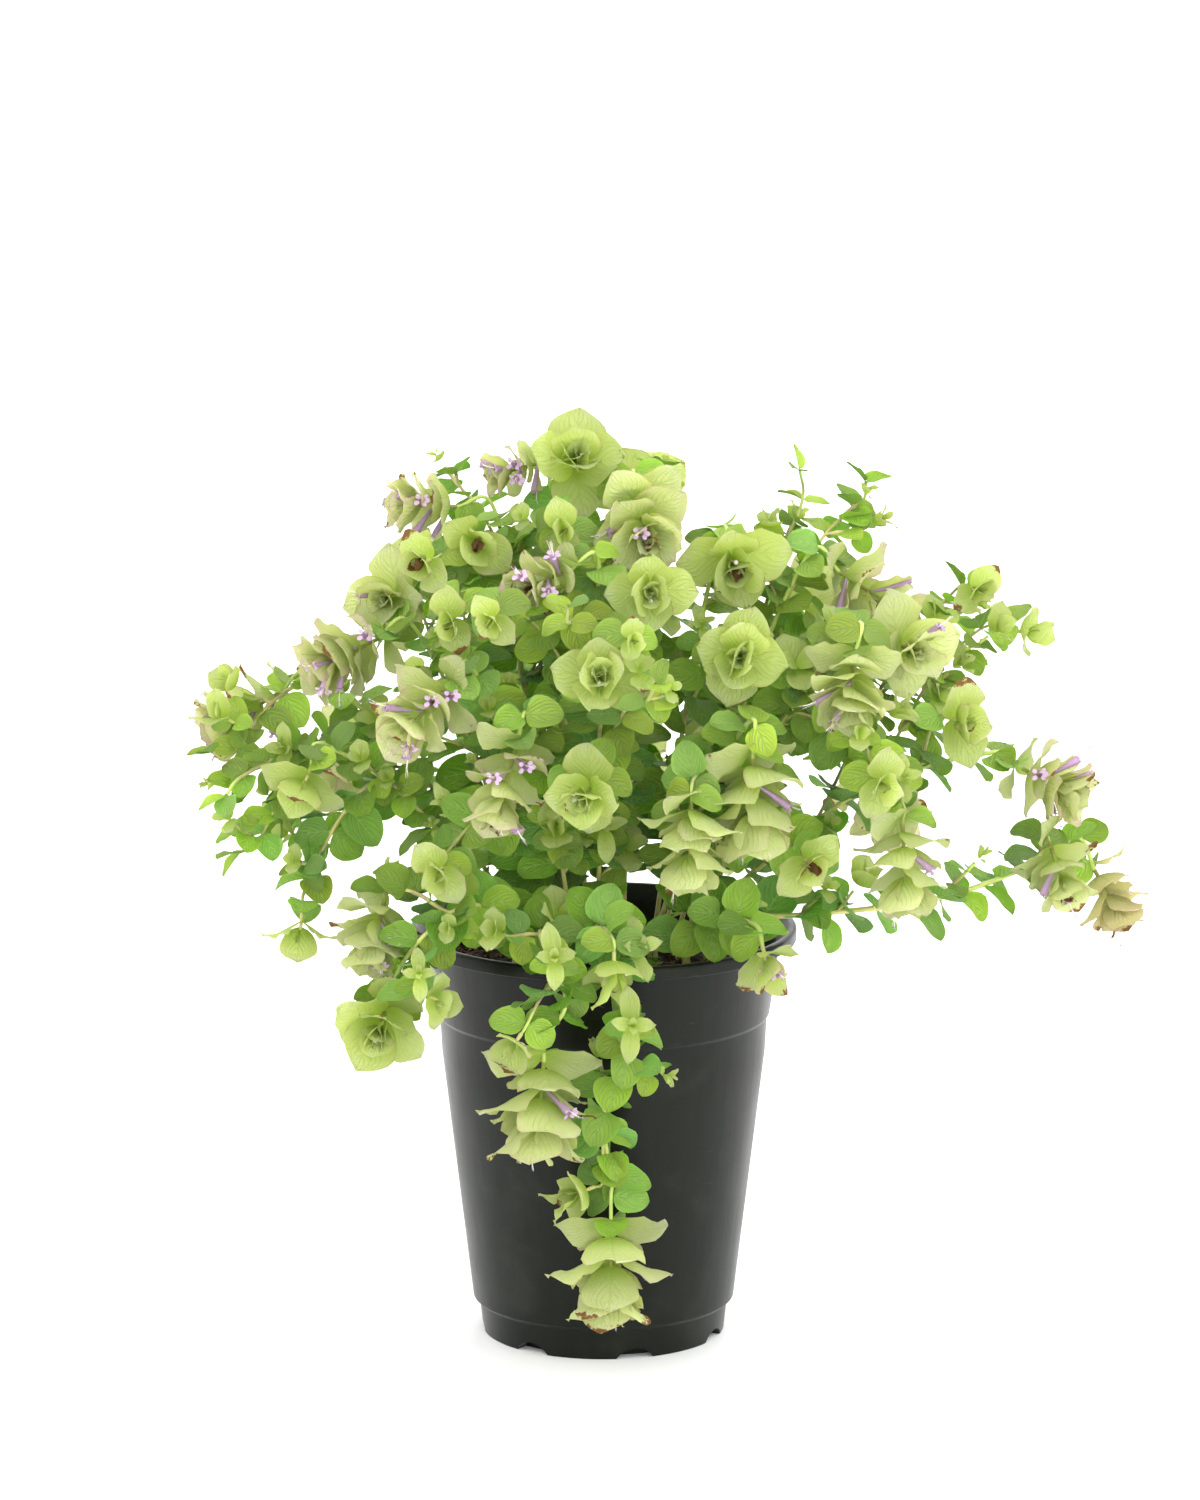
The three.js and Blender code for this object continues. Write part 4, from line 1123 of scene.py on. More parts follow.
def side_shoot(arm, share, place):
    """A thin stalk that leaves an arm in a leaf axil and bends up, outwards and to the front."""
    start = arm.curve.point(share)
    radial = nearest_stop(arm, share).outward[int(4 * chance(arm.seed, 210 + place))]
    outward = outward_from(start)
    heading = (arm.curve.tangent(share) * SHOOT_ALONG + radial * SHOOT_ASIDE
               + UP * SHOOT_RISE + outward * SHOOT_OUTWARD).normalized()
    end_way = (heading + UP * SHOOT_END_RISE + outward * SHOOT_END_OUTWARD + SHOOT_END_AHEAD).normalized()
    length = mix(*SHOOT_LENGTH, chance(arm.seed, 220 + place))
    top = start + heading * length
    is_tuft = chance(arm.seed, 250 + place) < TUFT_CHANCE
    shoot = Arm(
        bears="tuft" if is_tuft else "sprig", pairs=TUFT_PAIRS if is_tuft else SPRIG_PAIRS, tint="lime",
        turn=degrees(atan2(end_way.x, -end_way.y)), drop=-degrees(asin(end_way.z)),
        reach=mix(*SHOOT_REACH, chance(arm.seed, 230 + place) ** SHOOT_REACH_POWER),
        node=arm.node, seed=arm.seed * 7 + 300 + place, steps=SHOOT_STEPS,
    )
    shoot.at = top + end_way * (head_length(shoot) / 2)
    lead, approach = start + heading * length * SHOOT_LEAD, top - end_way * length * SHOOT_APPROACH
    shoot.curve = Curve([start, lead, approach, top])
    shoot.stations = arm_stations(shoot, shoot.curve, SHOOT_STEPS, [])
    return shoot


def shoot_cup(shoot):
    lean = mix(*SHOOT_LEAN, chance(shoot.seed, 240) ** SHOOT_LEAN_POWER)
    return [bract_blade(shoot, stop, end, lean, 1 - SHOOT_BRACT_TAPER * stop.pair)
            for stop in bract_stops(shoot) for end in ENDS]


def small_leaves(shoot):
    leaves = []
    for pair, share in enumerate(SHOOT_LEAF_PLACES):
        stop = free_stop(shoot, share, shoot.stations[1].outward)
        for end in ENDS:
            lean = free_lean(shoot.seed + 260, pair * 2 + end)
            leaves += first_clear([leaf_blade(shoot, stop, pair, end, 0, SHOOT_LEAF_SHARE, lean)])
    return leaves


# Fine surfaces


class Pile:
    """Gathers many grids of points into one mesh, with a tone and a place on its blade for each."""

    def __init__(self):
        self.points, self.faces, self.tones, self.places = [], [], [], []
        self.count = 0

    def add(self, grid, tone, place=None, closed=False):
        rows, columns = grid.shape[:2]
        ids = np.arange(rows * columns).reshape(rows, columns) + self.count
        left = ids if closed else ids[:, :-1]
        right = np.roll(ids, -1, axis=1) if closed else ids[:, 1:]
        quads = np.stack([left[:-1], right[:-1], right[1:], left[1:]], axis=-1)
        self.faces.append(quads.reshape(-1, 4))
        self.points.append(grid.reshape(-1, 3))
        self.tones.append(np.broadcast_to(tone, (rows, columns, 3)).reshape(-1, 3))
        spot = np.zeros((rows, columns, 2)) if place is None else place
        self.places.append(spot.reshape(-1, 2))
        self.count += rows * columns

    def make(self, name, material, slot, *nodes):
        mesh = bpy.data.meshes.new(name)
        mesh.from_pydata(np.concatenate(self.points).tolist(), [], np.concatenate(self.faces).tolist())
        tones = np.c_[np.concatenate(self.tones), np.ones(self.count)]
        mesh.color_attributes.new("Tone", "FLOAT_COLOR", "POINT").data.foreach_set("color", tones.ravel())
        corners = np.empty(len(mesh.loops), dtype=np.int32)
        mesh.loops.foreach_get("vertex_index", corners)
        spots = np.concatenate(self.places)[corners]
        mesh.uv_layers.new(name="Place").data.foreach_set("uv", spots.ravel())
        mesh.shade_smooth()
        return make_piece(name, mesh, material, slot, *nodes)


def make_piece(name, mesh, material, slot, *nodes):
    mesh.materials.append(material)
    piece = bpy.data.objects.new(name, mesh)
    bpy.context.scene.collection.objects.link(piece)
    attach(piece, "root")
    if nodes:
        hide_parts(*nodes)
    return piece


def blade_grid(blade, margin, columns, relief):
    """A blade's upper face as a grid of points, with its normals and its places across and along."""
    along, half = np.array(margin).T[:, :, None]
    side_share = np.linspace(-1, 1, columns)[None, :]
    across = half * side_share
    angle = blade.bend * along
    direction, face = np.array(blade.direction), np.array(blade.face)
    side = np.cross(direction, face)
    side /= np.linalg.norm(side)
    normal = face * np.cos(angle)[..., None] - direction * np.sin(angle)[..., None]
    lift = 4 * blade.cup * blade.width * across ** 2 + blade.length * relief(along, side_share)
    grid = (np.array(blade.foot)
            + direction * (blade.length * np.sin(angle) / blade.bend)[..., None]
            + face * (blade.length * (1 - np.cos(angle)) / blade.bend)[..., None]
            + side * (blade.width * across)[..., None]
            + normal * lift[..., None])
    place = np.stack(np.broadcast_arrays(side_share / 2 + 0.5, along), axis=-1)
    return grid, normal, place


def tones(*values):
    """The three tones of each point of a grid, from values that may be the same all over it."""
    return np.stack(np.broadcast_arrays(*values), axis=-1)


def waves(seed, counts, shift):
    """Waves along the margins of a blade, with its two sides out of step."""
    count = mix(*counts, chance(seed, 3))
    start = chance(seed, 4)
    return lambda along, across: np.sin(2 * pi * (count * along + start + shift * np.sign(across)))


def add_leaf(pile, blade, seed):
    """A leaf with two faces. Its tones say how light, how cool and how young it is."""
    wave = waves(seed, LEAF_WAVES, LEAF_WAVE_SHIFT)

    def relief(along, across):
        hollow = LEAF_HOLLOW * (1 - np.abs(across)) * along
        return LEAF_RIPPLE * np.abs(across) ** 3 * wave(along, across) - hollow

    columns = SMALL_LEAF_COLUMNS if blade.length < SMALL_LEAF else LEAF_COLUMNS
    grid, normal, place = blade_grid(blade, LEAF_MARGIN, columns, relief)
    along, across = place[..., 1], place[..., 0] * 2 - 1
    thickness = LEAF_THICKNESS * (1 - across ** 2) * (1 - along ** 6)
    light = PLAIN * mix(*LEAF_SHADES, chance(seed, 5)) * (1 - 0.1 * along)
    youth = np.clip(blade.youth + YOUTH_VARIETY * (chance(seed, 6) - 0.5), 0, 1)
    cool = LEAF_COOLNESS * chance(seed, 8) ** 2
    upper = tones(light, cool, youth)
    lower = tones(light * UNDERSIDE_SHADE, 0.5 + 0.3 * cool, youth)
    pile.add(grid, upper, place)
    pile.add((grid - normal * thickness[..., None])[:, ::-1], lower[:, ::-1], place[:, ::-1])


def add_bract(pile, blade, seed, tint):
    """A thin bract. Its tones say how light it is, with the inner bracts painted lighter as painted light
    against the shade in a head, and how blushed and scorched.
    """
    wave = waves(seed, BRACT_WAVES, BRACT_WAVE_SHIFT)
    flare = FLARE[tint] * (1 - 0.6 * blade.share)

    def relief(along, across):
        rim = np.abs(across) ** 3 * soft_step(0.15, 0.5, along)
        crease = BRACT_CREASE * (1 - np.abs(across)) ** 2 * np.sin(pi * along)
        return BRACT_RIPPLE * rim * wave(along, across) + crease - flare * soft_step(0.55, 1, along) ** 2

    grid, _, place = blade_grid(blade, BRACT_MARGIN, BRACT_COLUMNS, relief)
    along, across = place[..., 1], np.abs(place[..., 0] * 2 - 1)
    # Painted light: inner bracts are made lighter against the shade deep in a head
    light = PLAIN * mix(*BRACT_SHADES, chance(seed, 5)) * (1 + INNER_BRACT_PAINTED_LIGHT * blade.share)
    rim = np.maximum(across ** 4, soft_step(0.7, 1, along))
    blush = BLUSH[tint] * (0.06 + 0.94 * rim) * (0.2 + 1.3 * chance(seed, 6))
    scorch = SCORCH[tint] * soft_step(0.6, 1.0, along) * max(0, chance(seed, 7) - 0.4) * 2
    pile.add(grid, tones(light, np.clip(blush, 0, 1), np.clip(scorch, 0, 1)), place)


def tube_grid(points, radii, section):
    """A closed tube round a line of points. The section gives each side's angle and reach."""
    points = np.array(points)
    tangents = np.gradient(points, axis=0)
    tangents /= np.linalg.norm(tangents, axis=1)[:, None]
    normal = np.array((1, 0.2, 0)) if abs(tangents[0][2]) > 0.6 else np.array((0.1, 0, 1))
    rings = []
    for place, tangent, radius in zip(points, tangents, radii):
        normal = normal - tangent * normal.dot(tangent)
        normal /= np.linalg.norm(normal)
        binormal = np.cross(tangent, normal)
        rings.append([place + radius * reach * (binormal * cos(turn) + normal * sin(turn))
                      for turn, reach in section])
    return np.array(rings)


def evenly_round(sides):
    return [(i * 2 * pi / sides, 1) for i in range(sides)]


SQUARE = [(i * pi / 4, 1 if i % 2 == 0 else 1.24) for i in range(8)]
TRIANGLE = evenly_round(3)
ROUND = evenly_round(8)


def add_tube(pile, points, radii, section, tone):
    pile.add(tube_grid(points, radii, section), tone, closed=True)


def add_turned(pile, foot, direction, length, profile, tone):
    """A round shape whose profile gives its radii along its length."""
    points = [foot + direction * (length * share) for share, _ in profile]
    add_tube(pile, points, [radius for _, radius in profile], ROUND, tone)


def add_stem(pile, arm):
    """A square run that tapers and swells where leaves stand. Its tones: light, green and brown."""
    count = max(FEWEST_FACETS, int(arm.curve.length / STEM_FACET))
    shares = np.linspace(0, 1, count)
    nodes = [stop.share for stop in leaf_stops(arm)]
    light = PLAIN * mix(*STEM_SHADES, chance(arm.seed, 9))
    brown = 0.0 if arm.is_trunk else TWIG_BROWNNESS
    radii, shades = [], []
    for share in shares:
        swelling = sum(exp(-((share - node) * arm.curve.length / SWELLING_LENGTH) ** 2) for node in nodes)
        radii.append(half_width(arm) * (1 - STEM_TAPER * share) * (1 + SWELLING * swelling))
        shades.append((light, soft_step(0.35, 0.95, share), brown))
    points = [arm.curve.point(share) for share in shares]
    add_tube(pile, points, radii, SQUARE, np.array(shades)[:, None, :])


def add_core(pile, arm):
    last = bract_stops(arm)[-1]
    start = arm_end(arm)
    stop = last.centre + last.tangent * CORE_OVERTOP
    shares = np.linspace(0, 1, CORE_RINGS)
    points = [start.lerp(stop, share) for share in shares]
    radii = [CORE_HALF * mix(*CORE_SHARES, share) for share in shares]
    add_tube(pile, points, radii, ROUND, (0.42, 0, 0))


def add_floret(pile, foot, direction, length, seed):
    """A two-lipped funnel with its lobes and four long stamens."""
    direction = direction.normalized()
    side = beside(direction, 0.9)
    over = side.cross(direction)
    light = PLAIN * mix(*FLORET_SHADES, chance(seed, 11))
    add_turned(pile, foot, direction, length, FLORET_PROFILE, (light, 0.1, 0.4))
    rim = foot + direction * length
    for turn, size in FLORET_LOBES:
        spread = side * cos(turn) + over * sin(turn)
        add_lobe(pile, rim, direction, spread, size, light)
    for i in range(STAMEN_COUNT):
        turn = radians(60 + 22 * i + 16 * chance(seed, 20 + i))
        spread = side * cos(turn) + over * sin(turn)
        add_stamen(pile, rim, direction, spread, STAMEN_LENGTH * mix(*STAMEN_SIZES, chance(seed, 30 + i)))


def lobe_relief(along, across):
    return 0.05 * across * along


def add_lobe(pile, rim, direction, spread, size, light):
    foot = rim + spread * FLORET_MOUTH * 0.7
    heading = (spread * 0.8 + direction * 0.6).normalized()
    face = (direction * 0.8 - spread * 0.6).normalized()
    lobe = Blade(foot, heading, face, size, size * LOBE_WIDTH, LOBE_CUP, LOBE_BEND, "bract")
    grid, _, place = blade_grid(lobe, FLORET_MARGIN, LOBE_COLUMNS, lobe_relief)
    pile.add(grid, (light * LOBE_SHADE, 0.12, 0.15), place)


def add_stamen(pile, rim, direction, spread, reach):
    """A white thread with a dark knob at its end."""
    foot = rim + spread * FLORET_MOUTH * 0.4 - direction * 0.001
    middle = rim + spread * reach * 0.18 + direction * reach * 0.55
    tip = rim + spread * reach * 0.34 + direction * reach
    add_tube(pile, [foot, middle, tip], [STAMEN_RADIUS] * 3, TRIANGLE, (0.6, 1, 0))
    knob = [tip + direction * along for along, _ in ANTHER]
    add_tube(pile, knob, [radius for _, radius in ANTHER], TRIANGLE, (0.32, 0.2, 1))


def add_florets(pile, arm):
    """The floret at the mouth, as the solid has it, and those that look out between the bracts."""
    pairs = bract_stops(arm)
    last = pairs[-1]
    if arm.head or arm.tint == "pink":
        out = last.outward[(last.pair + 1) % 2]
        lean = out * sin(FLORET_LEAN) + last.tangent * cos(FLORET_LEAN)
        length = FLORET_SHARE * arm.reach - FLORET_SETBACK
        if arm.tint == "lime" or arm.bears == "rose" and arm.tint == "pale":
            add_turned(pile, last.centre, lean, length * BUD_SHARE, BUD_PROFILE, (0.5, 0.9, 0))
        else:
            add_floret(pile, last.centre, lean, length, arm.seed)
    kind = KINDS[arm.bears]
    for i in range(FLORETS[arm.tint] if arm.head else 0):
        stop = pairs[(i + 1) % len(pairs)]
        turn = pi / 4 + i * pi / 2 + 2 * chance(arm.seed, 60 + i)
        angle = radians(mix(kind.open, kind.close, stop.pair / max(1, arm.pairs - 1)) - 10)
        lean, _ = opened(stop.tangent, turned(stop.outward[0], stop.tangent, turn), angle)
        size = arm.reach * FLORET_SHARE * mix(*FLORET_SIZES, chance(arm.seed, 80 + i))
        add_floret(pile, stop.centre + stop.tangent * 0.001, lean, size, arm.seed + i + 1)


def add_scraps(pile, arm):
    """Small curled brown remains at the mouth of a head."""
    last = bract_stops(arm)[-1]
    foot = last.centre + last.tangent * arm.reach * SCRAP_SETBACK
    for i in range(SCRAP_COUNT):
        turn = 2.2 * i + 3 * chance(arm.seed, 120 + i)
        angle = radians(mix(*SCRAP_OPENINGS, chance(arm.seed, 130 + i)))
        size = mix(*SCRAP_SIZES, chance(arm.seed, 140 + i))
        way = opened(last.tangent, turned(last.outward[0], last.tangent, turn), angle)
        scrap = Blade(foot, *way, size, size * SCRAP_WIDTH, SCRAP_CUP, SCRAP_BEND, "bract")
        grid, _, place = blade_grid(scrap, BRACT_MARGIN, SCRAP_COLUMNS, scrap_relief)
        pile.add(grid, (0.4, 0, 1), place)


def scrap_relief(along, across):
    return 0.05 * np.sin(9 * along) * across


# Pot and soil

POT_PROFILE = [
    (0, 0),
    (HUB_RADIUS, 0),
    (HUB_RADIUS + HUB_SLOPE, CHANNEL_RISE),
    (CHANNEL_RADIUS, CHANNEL_RISE),
    (CHANNEL_RADIUS + HUB_SLOPE, 0),
    (FOOT_RADIUS, 0),
    (SKIRT_RADIUS, SKIRT_HEIGHT - CREASE_HEIGHT),
    (SKIRT_TOP_RADIUS, SKIRT_HEIGHT),
    (SHOULDER_RADIUS, SHOULDER_HEIGHT),
    (COLLAR_RADIUS - RIDGE_DEPTH, COLLAR_FOOT),
    (COLLAR_RADIUS, COLLAR_FOOT + RIDGE_HEIGHT),
    (COLLAR_TOP_RADIUS, POT_HEIGHT - LIP_DEPTH - EDGE_ROUND),
    (LIP_RADIUS, POT_HEIGHT - LIP_DEPTH),
    (LIP_RADIUS, POT_HEIGHT - EDGE_ROUND),
    (LIP_RADIUS - EDGE_ROUND, POT_HEIGHT),
    (MOUTH_RADIUS, POT_HEIGHT),
    (COLLAR_TOP_RADIUS - WALL, POT_HEIGHT - MOUTH_DEPTH),
    (SHOULDER_RADIUS - WALL, SHOULDER_HEIGHT),
    (INNER_FOOT_RADIUS, CHANNEL_RISE + WALL),
    (HUB_RADIUS, CHANNEL_RISE + WALL),
    (HUB_RADIUS - HUB_SLOPE, WALL),
    (0, WALL),
]


def turned_mesh(profile, sides):
    shape = bmesh.new()
    points = [shape.verts.new((radius, 0, height)) for radius, height in profile]
    line = [shape.edges.new(pair) for pair in zip(points, points[1:])]
    bmesh.ops.spin(shape, geom=points + line, axis=(0, 0, 1), angle=2 * pi, steps=sides, use_merge=True)
    bmesh.ops.remove_doubles(shape, verts=shape.verts, dist=1e-6)
    bmesh.ops.recalc_face_normals(shape, faces=shape.faces)
    return shape


def soften(shape):
    """Rounds the edges that run round the pot where they are sharp."""
    sharp = [edge for edge in shape.edges
             if len(edge.link_faces) == 2 and edge.calc_face_angle() > SOFTEN_FROM]
    bmesh.ops.bevel(shape, geom=sharp, offset=SOFTEN_BY, segments=SOFTEN_STEPS, profile=0.5,
                    affect="EDGES", clamp_overlap=True)


def drill(radius, length, turn, middle, is_flat):
    """A cylinder that cuts the pot: flat through its foot ring, or upright through its floor."""
    shape = bmesh.new()
    bmesh.ops.create_cone(shape, cap_ends=True, segments=CUTTER_SIDES, radius1=radius, radius2=radius,
                          depth=length)
    tilt = Euler((pi / 2 if is_flat else 0, 0, 0)).to_matrix()
    bmesh.ops.rotate(shape, verts=shape.verts, matrix=tilt)
    bmesh.ops.translate(shape, verts=shape.verts, vec=middle)
    bmesh.ops.rotate(shape, verts=shape.verts, matrix=Euler((0, 0, turn)).to_matrix())
    return shape


def to_object(shape, name):
    mesh = bpy.data.meshes.new(name)
    shape.to_mesh(mesh)
    shape.free()
    thing = bpy.data.objects.new(name, mesh)
    bpy.context.scene.collection.objects.link(thing)
    return thing


def pot_cutters():
    """The notches in the foot and the drain holes in the floor."""
    notch = (0, -FOOT_RADIUS, NOTCH_HEIGHT - NOTCH_RADIUS)
    for i in range(NOTCH_COUNT):
        yield drill(NOTCH_RADIUS, NOTCH_LENGTH, FIRST_NOTCH + i * 2 * pi / NOTCH_COUNT, notch, True)
    drain = (0, (HUB_RADIUS + CHANNEL_RADIUS) / 2, 0)
    for i in range(DRAIN_COUNT):
        yield drill(DRAIN_RADIUS, DRAIN_LENGTH, -(i + 0.5) * 2 * pi / DRAIN_COUNT, drain, False)


def build_pot():
    shape = turned_mesh(POT_PROFILE, POT_SIDES)
    soften(shape)
    blank = to_object(shape, "pot_blank")
    helpers = [blank]
    for number, cutter in enumerate(pot_cutters()):
        helper = to_object(cutter, f"pot_cutter_{number}")
        helpers.append(helper)
        cut = blank.modifiers.new("cut", "BOOLEAN")
        cut.operation = "DIFFERENCE"
        cut.solver = "EXACT"
        cut.object = helper
    evaluated = blank.evaluated_get(bpy.context.evaluated_depsgraph_get())
    mesh = bpy.data.meshes.new_from_object(evaluated)
    for helper in helpers:
        bpy.data.objects.remove(helper)
    mesh.materials.clear()
    mesh.shade_smooth()
    mesh.set_sharp_from_angle(angle=SHARP_FROM)
    make_piece("nursery_pot", mesh, POT_MATERIAL, "pot_plastic", "pot")


def soil_height(x, y):
    """The top of the soil: a slow swell, lumps, and a grain finer than those."""
    swell = SWELL_HEIGHT * np.sin(x * 90 + 1.3) * np.cos(y * 110)
    lumps = LUMP_HEIGHT * np.sin(x * 310 + y * 230) * np.cos(y * 370 - x * 120)
    grain = np.sin(x * 1310 + 2 * np.sin(y * 900)) * np.cos(y * 1170 + 2 * np.sin(x * 760))
    return SOIL_LEVEL + swell + lumps + GRAIN_HEIGHT * grain


def inner_radius(height):
    share = (height - SHOULDER_HEIGHT) / (POT_HEIGHT - MOUTH_DEPTH - SHOULDER_HEIGHT)
    return mix(SHOULDER_RADIUS, COLLAR_TOP_RADIUS, share) - WALL


def build_soil():
    edge = inner_radius(SOIL_LEVEL - SOIL_EDGE_DEPTH) - SOIL_GAP
    foot = CHANNEL_RISE + WALL + SOIL_GAP
    outer = [(0.0002, foot), (INNER_FOOT_RADIUS - SOIL_GAP, foot),
             (SHOULDER_RADIUS - WALL - SOIL_GAP, SHOULDER_HEIGHT), (edge, SOIL_LEVEL - SOIL_EDGE_DEPTH)]
    turns = np.linspace(0, 2 * pi, SOIL_SIDES, endpoint=False)
    rings = [np.stack([r * np.cos(turns), r * np.sin(turns), np.full(SOIL_SIDES, z)], axis=-1)
             for r, z in outer]
    for share in np.linspace(0.985, 0.003, SOIL_RINGS):
        x, y = edge * share * np.cos(turns), edge * share * np.sin(turns)
        drop = SOIL_EDGE_DEPTH * soft_step(0.86, 1.0, share)
        rings.append(np.stack([x, y, soil_height(x, y) - drop], axis=-1))
    pile = Pile()
    pile.add(np.array(rings), (PLAIN, 0, 0), closed=True)
    pile.make("soil_bed", SOIL_MATERIAL, "soil", "soil")


def soil_place(draw, reach):
    turn = draw.uniform(0, 2 * pi)
    radius = sqrt(draw.random()) * reach
    x, y = radius * cos(turn), radius * sin(turn)
    return Vector((x, y, soil_height(x, y)))


def build_crumbs():
    draw = Random(11)
    pile = Pile()
    for _ in range(CRUMB_COUNT):
        size = draw.uniform(*(CRUMB_SIZES if draw.random() < CRUMB_SHARE else CLOD_SIZES))
        way = Vector((draw.gauss(0, 1), draw.gauss(0, 1), draw.gauss(0, 0.5))).normalized()
        centre = soil_place(draw, CRUMB_REACH) + UP * size * 0.3
        line = [centre - way * size, centre, centre + way * size * draw.uniform(0.7, 1.3)]
        girth = size * draw.uniform(0.6, 1.1)
        section = [(i * 2 * pi / 5, draw.uniform(0.75, 1.2)) for i in range(5)]
        tone = (draw.uniform(0.25, 0.8), draw.random() ** 3, 0)
        add_tube(pile, line, [girth * 0.3, girth, girth * 0.25], section, tone)
    pile.make("soil_crumbs", SOIL_MATERIAL, "soil")


def build_fibres():
    draw = Random(12)
    pile = Pile()
    for _ in range(FIBRE_COUNT):
        start = soil_place(draw, FIBRE_REACH)
        turn = draw.uniform(0, 2 * pi)
        length = draw.uniform(*FIBRE_LENGTHS)
        bend = draw.uniform(-1.2, 1.2)
        rise = draw.uniform(0, FIBRE_RISE)
        line = []
        for share in np.arange(FIBRE_STEPS + 1) / FIBRE_STEPS:
            heading = turn + bend * share
            x = start.x + length * share * cos(heading)
            y = start.y + length * share * sin(heading)
            line.append((x, y, soil_height(x, y) + 0.0006 + rise * sin(pi * share)))
        thick = draw.uniform(*FIBRE_RADII)
        radii = [thick * (1 - 0.1 * step) for step in range(FIBRE_STEPS + 1)]
        add_tube(pile, line, radii, TRIANGLE, (draw.uniform(0.5, 1.0), draw.uniform(0.5, 1), 0))
    pile.make("soil_fibres", SOIL_MATERIAL, "soil")


def build_seedlings():
    draw = Random(13)
    pile = Pile()
    for number in range(SEEDLING_COUNT):
        foot = soil_place(draw, SEEDLING_REACH)
        sway = [draw.uniform(-1, 1) * SEEDLING_SWAY for _ in range(2)]
        top = foot + Vector((*sway, draw.uniform(*SEEDLING_HEIGHTS)))
        add_tube(pile, [foot, foot.lerp(top, 0.5), top], SEEDLING_RADII, TRIANGLE, (0.5, 0.3, 0.8))
        for place in range(4):
            pair, end = divmod(place, 2)
            turn = number * 1.7 + pair * pi / 2 + end * pi
            direction = Vector((cos(turn) * 0.85, sin(turn) * 0.85, 0.45)).normalized()
            length = SEEDLING_LEAVES[pair] * draw.uniform(0.8, 1.2)
            leaf = Blade(top + UP * 0.001 * pair, direction, squared(UP, direction), length, length * 0.8,
                         0.1, -0.3, "leaf", youth=0.7)
            add_leaf(pile, leaf, 900 + number * 4 + place)
    pile.make("seedlings", LEAF_MATERIAL, "leaf_green")


# Materials


def paint(red, green, blue):
    """A colour as its screen values from 0 to 255, made linear."""
    def linear(value):
        share = value / 255
        return share / 12.92 if share <= 0.04045 else ((share + 0.055) / 1.055) ** 2.4
    return (linear(red), linear(green), linear(blue), 1)


LEAF_DARK = paint(116, 176, 36)
LEAF_LIGHT = paint(158, 208, 48)
LEAF_YOUNG = paint(208, 226, 88)
LEAF_COOL = paint(142, 196, 128)
LEAF_VEIN = paint(192, 220, 140)
LEAF_GLOW = (0.92, 1.0, 0.2, 1)
BRACT_PAINTS = {
    "pale": (paint(184, 208, 95), paint(207, 218, 150), paint(216, 222, 181)),
    "lime": (paint(170, 200, 72), paint(192, 210, 119), paint(206, 217, 160)),
    "pink": (paint(184, 206, 102), paint(207, 218, 150), paint(219, 219, 181)),
    "dry": (paint(180, 184, 116), paint(208, 200, 150), paint(210, 192, 156)),
}
BRACT_VEIN = paint(172, 200, 96)
BRACT_BLUSH = paint(216, 176, 198)
BRACT_EDGE = paint(186, 146, 112)
BRACT_SCORCH = paint(134, 96, 54)
BRACT_GLOW = (1.0, 1.0, 0.6, 1)
FLORET_DARK = paint(174, 140, 178)
FLORET_LIGHT = paint(202, 172, 208)
FLORET_DEEP = paint(168, 122, 174)
FLORET_WHITE = paint(240, 236, 232)
FLORET_GLOW = (1.0, 0.92, 1.0, 1)
STEM_TAN = paint(172, 166, 92)
STEM_PALE = paint(206, 204, 124)
STEM_GREEN = paint(166, 194, 86)
STEM_BROWN = paint(124, 92, 80)
SOIL_BLACK = paint(20, 16, 14)
SOIL_BROWN = paint(48, 37, 30)
SOIL_GREY = paint(92, 80, 70)
SOIL_STRAW = paint(108, 86, 62)
POT_DARK = paint(8, 11, 6)
POT_LIGHT = paint(16, 20, 12)
POT_SCUFF = paint(38, 42, 34)
POT_DUST = paint(48, 52, 42)
FLOOR_GREY = (0.86, 0.86, 0.86, 1)
FLOOR_LIGHT = (0.88, 0.88, 0.88, 1)

# Side veins: how many, how far they slant to the tip, and how wide they are
LEAF_VEINS = (4.8, 0.95, 0.2)
BRACT_VEINS = (5.5, 0.95, 0.13)
VEIN_ARCH = 1.5
RIB_WIDTH = 0.06

# The fine net between the veins: its cells a metre, and how wide its lines are
LEAF_NET = (1300, 0.12)
BRACT_NET = (1150, 0.1)

# Patches of noise: how many a metre has, and how finely they are broken up
LEAF_PATCHES = (220, 4)
BRACT_PATCHES = (160, 4)
BLUSH_PATCHES = (300, 5)
SCORCH_PATCHES = (420, 4)
FLORET_PATCHES = (700, 3)
STEM_STREAKS = (500, 4)
STEM_PATCHES = (90, 2)
SOIL_GRIT = (900, 5)
SOIL_CLODS = (140, 4)
POT_FLOW = (170, 4)
POT_SCUFFS = (240, 5)
POT_DUSTING = (34, 4)
POT_GRAIN = (2600, 2)
FLOOR_FLECKS = (6, 2)

# How deep each surface's relief is
LEAF_RELIEF = 0.0005
BRACT_RELIEF = 0.00035
FLORET_RELIEF = 0.0001
STEM_RELIEF = 0.00015
SOIL_RELIEF = 0.0008
POT_RELIEF = 0.00012

# The share of the light that passes through
LEAF_THROUGH = 0.54
BRACT_THROUGH = 0.46
FLORET_THROUGH = 0.3


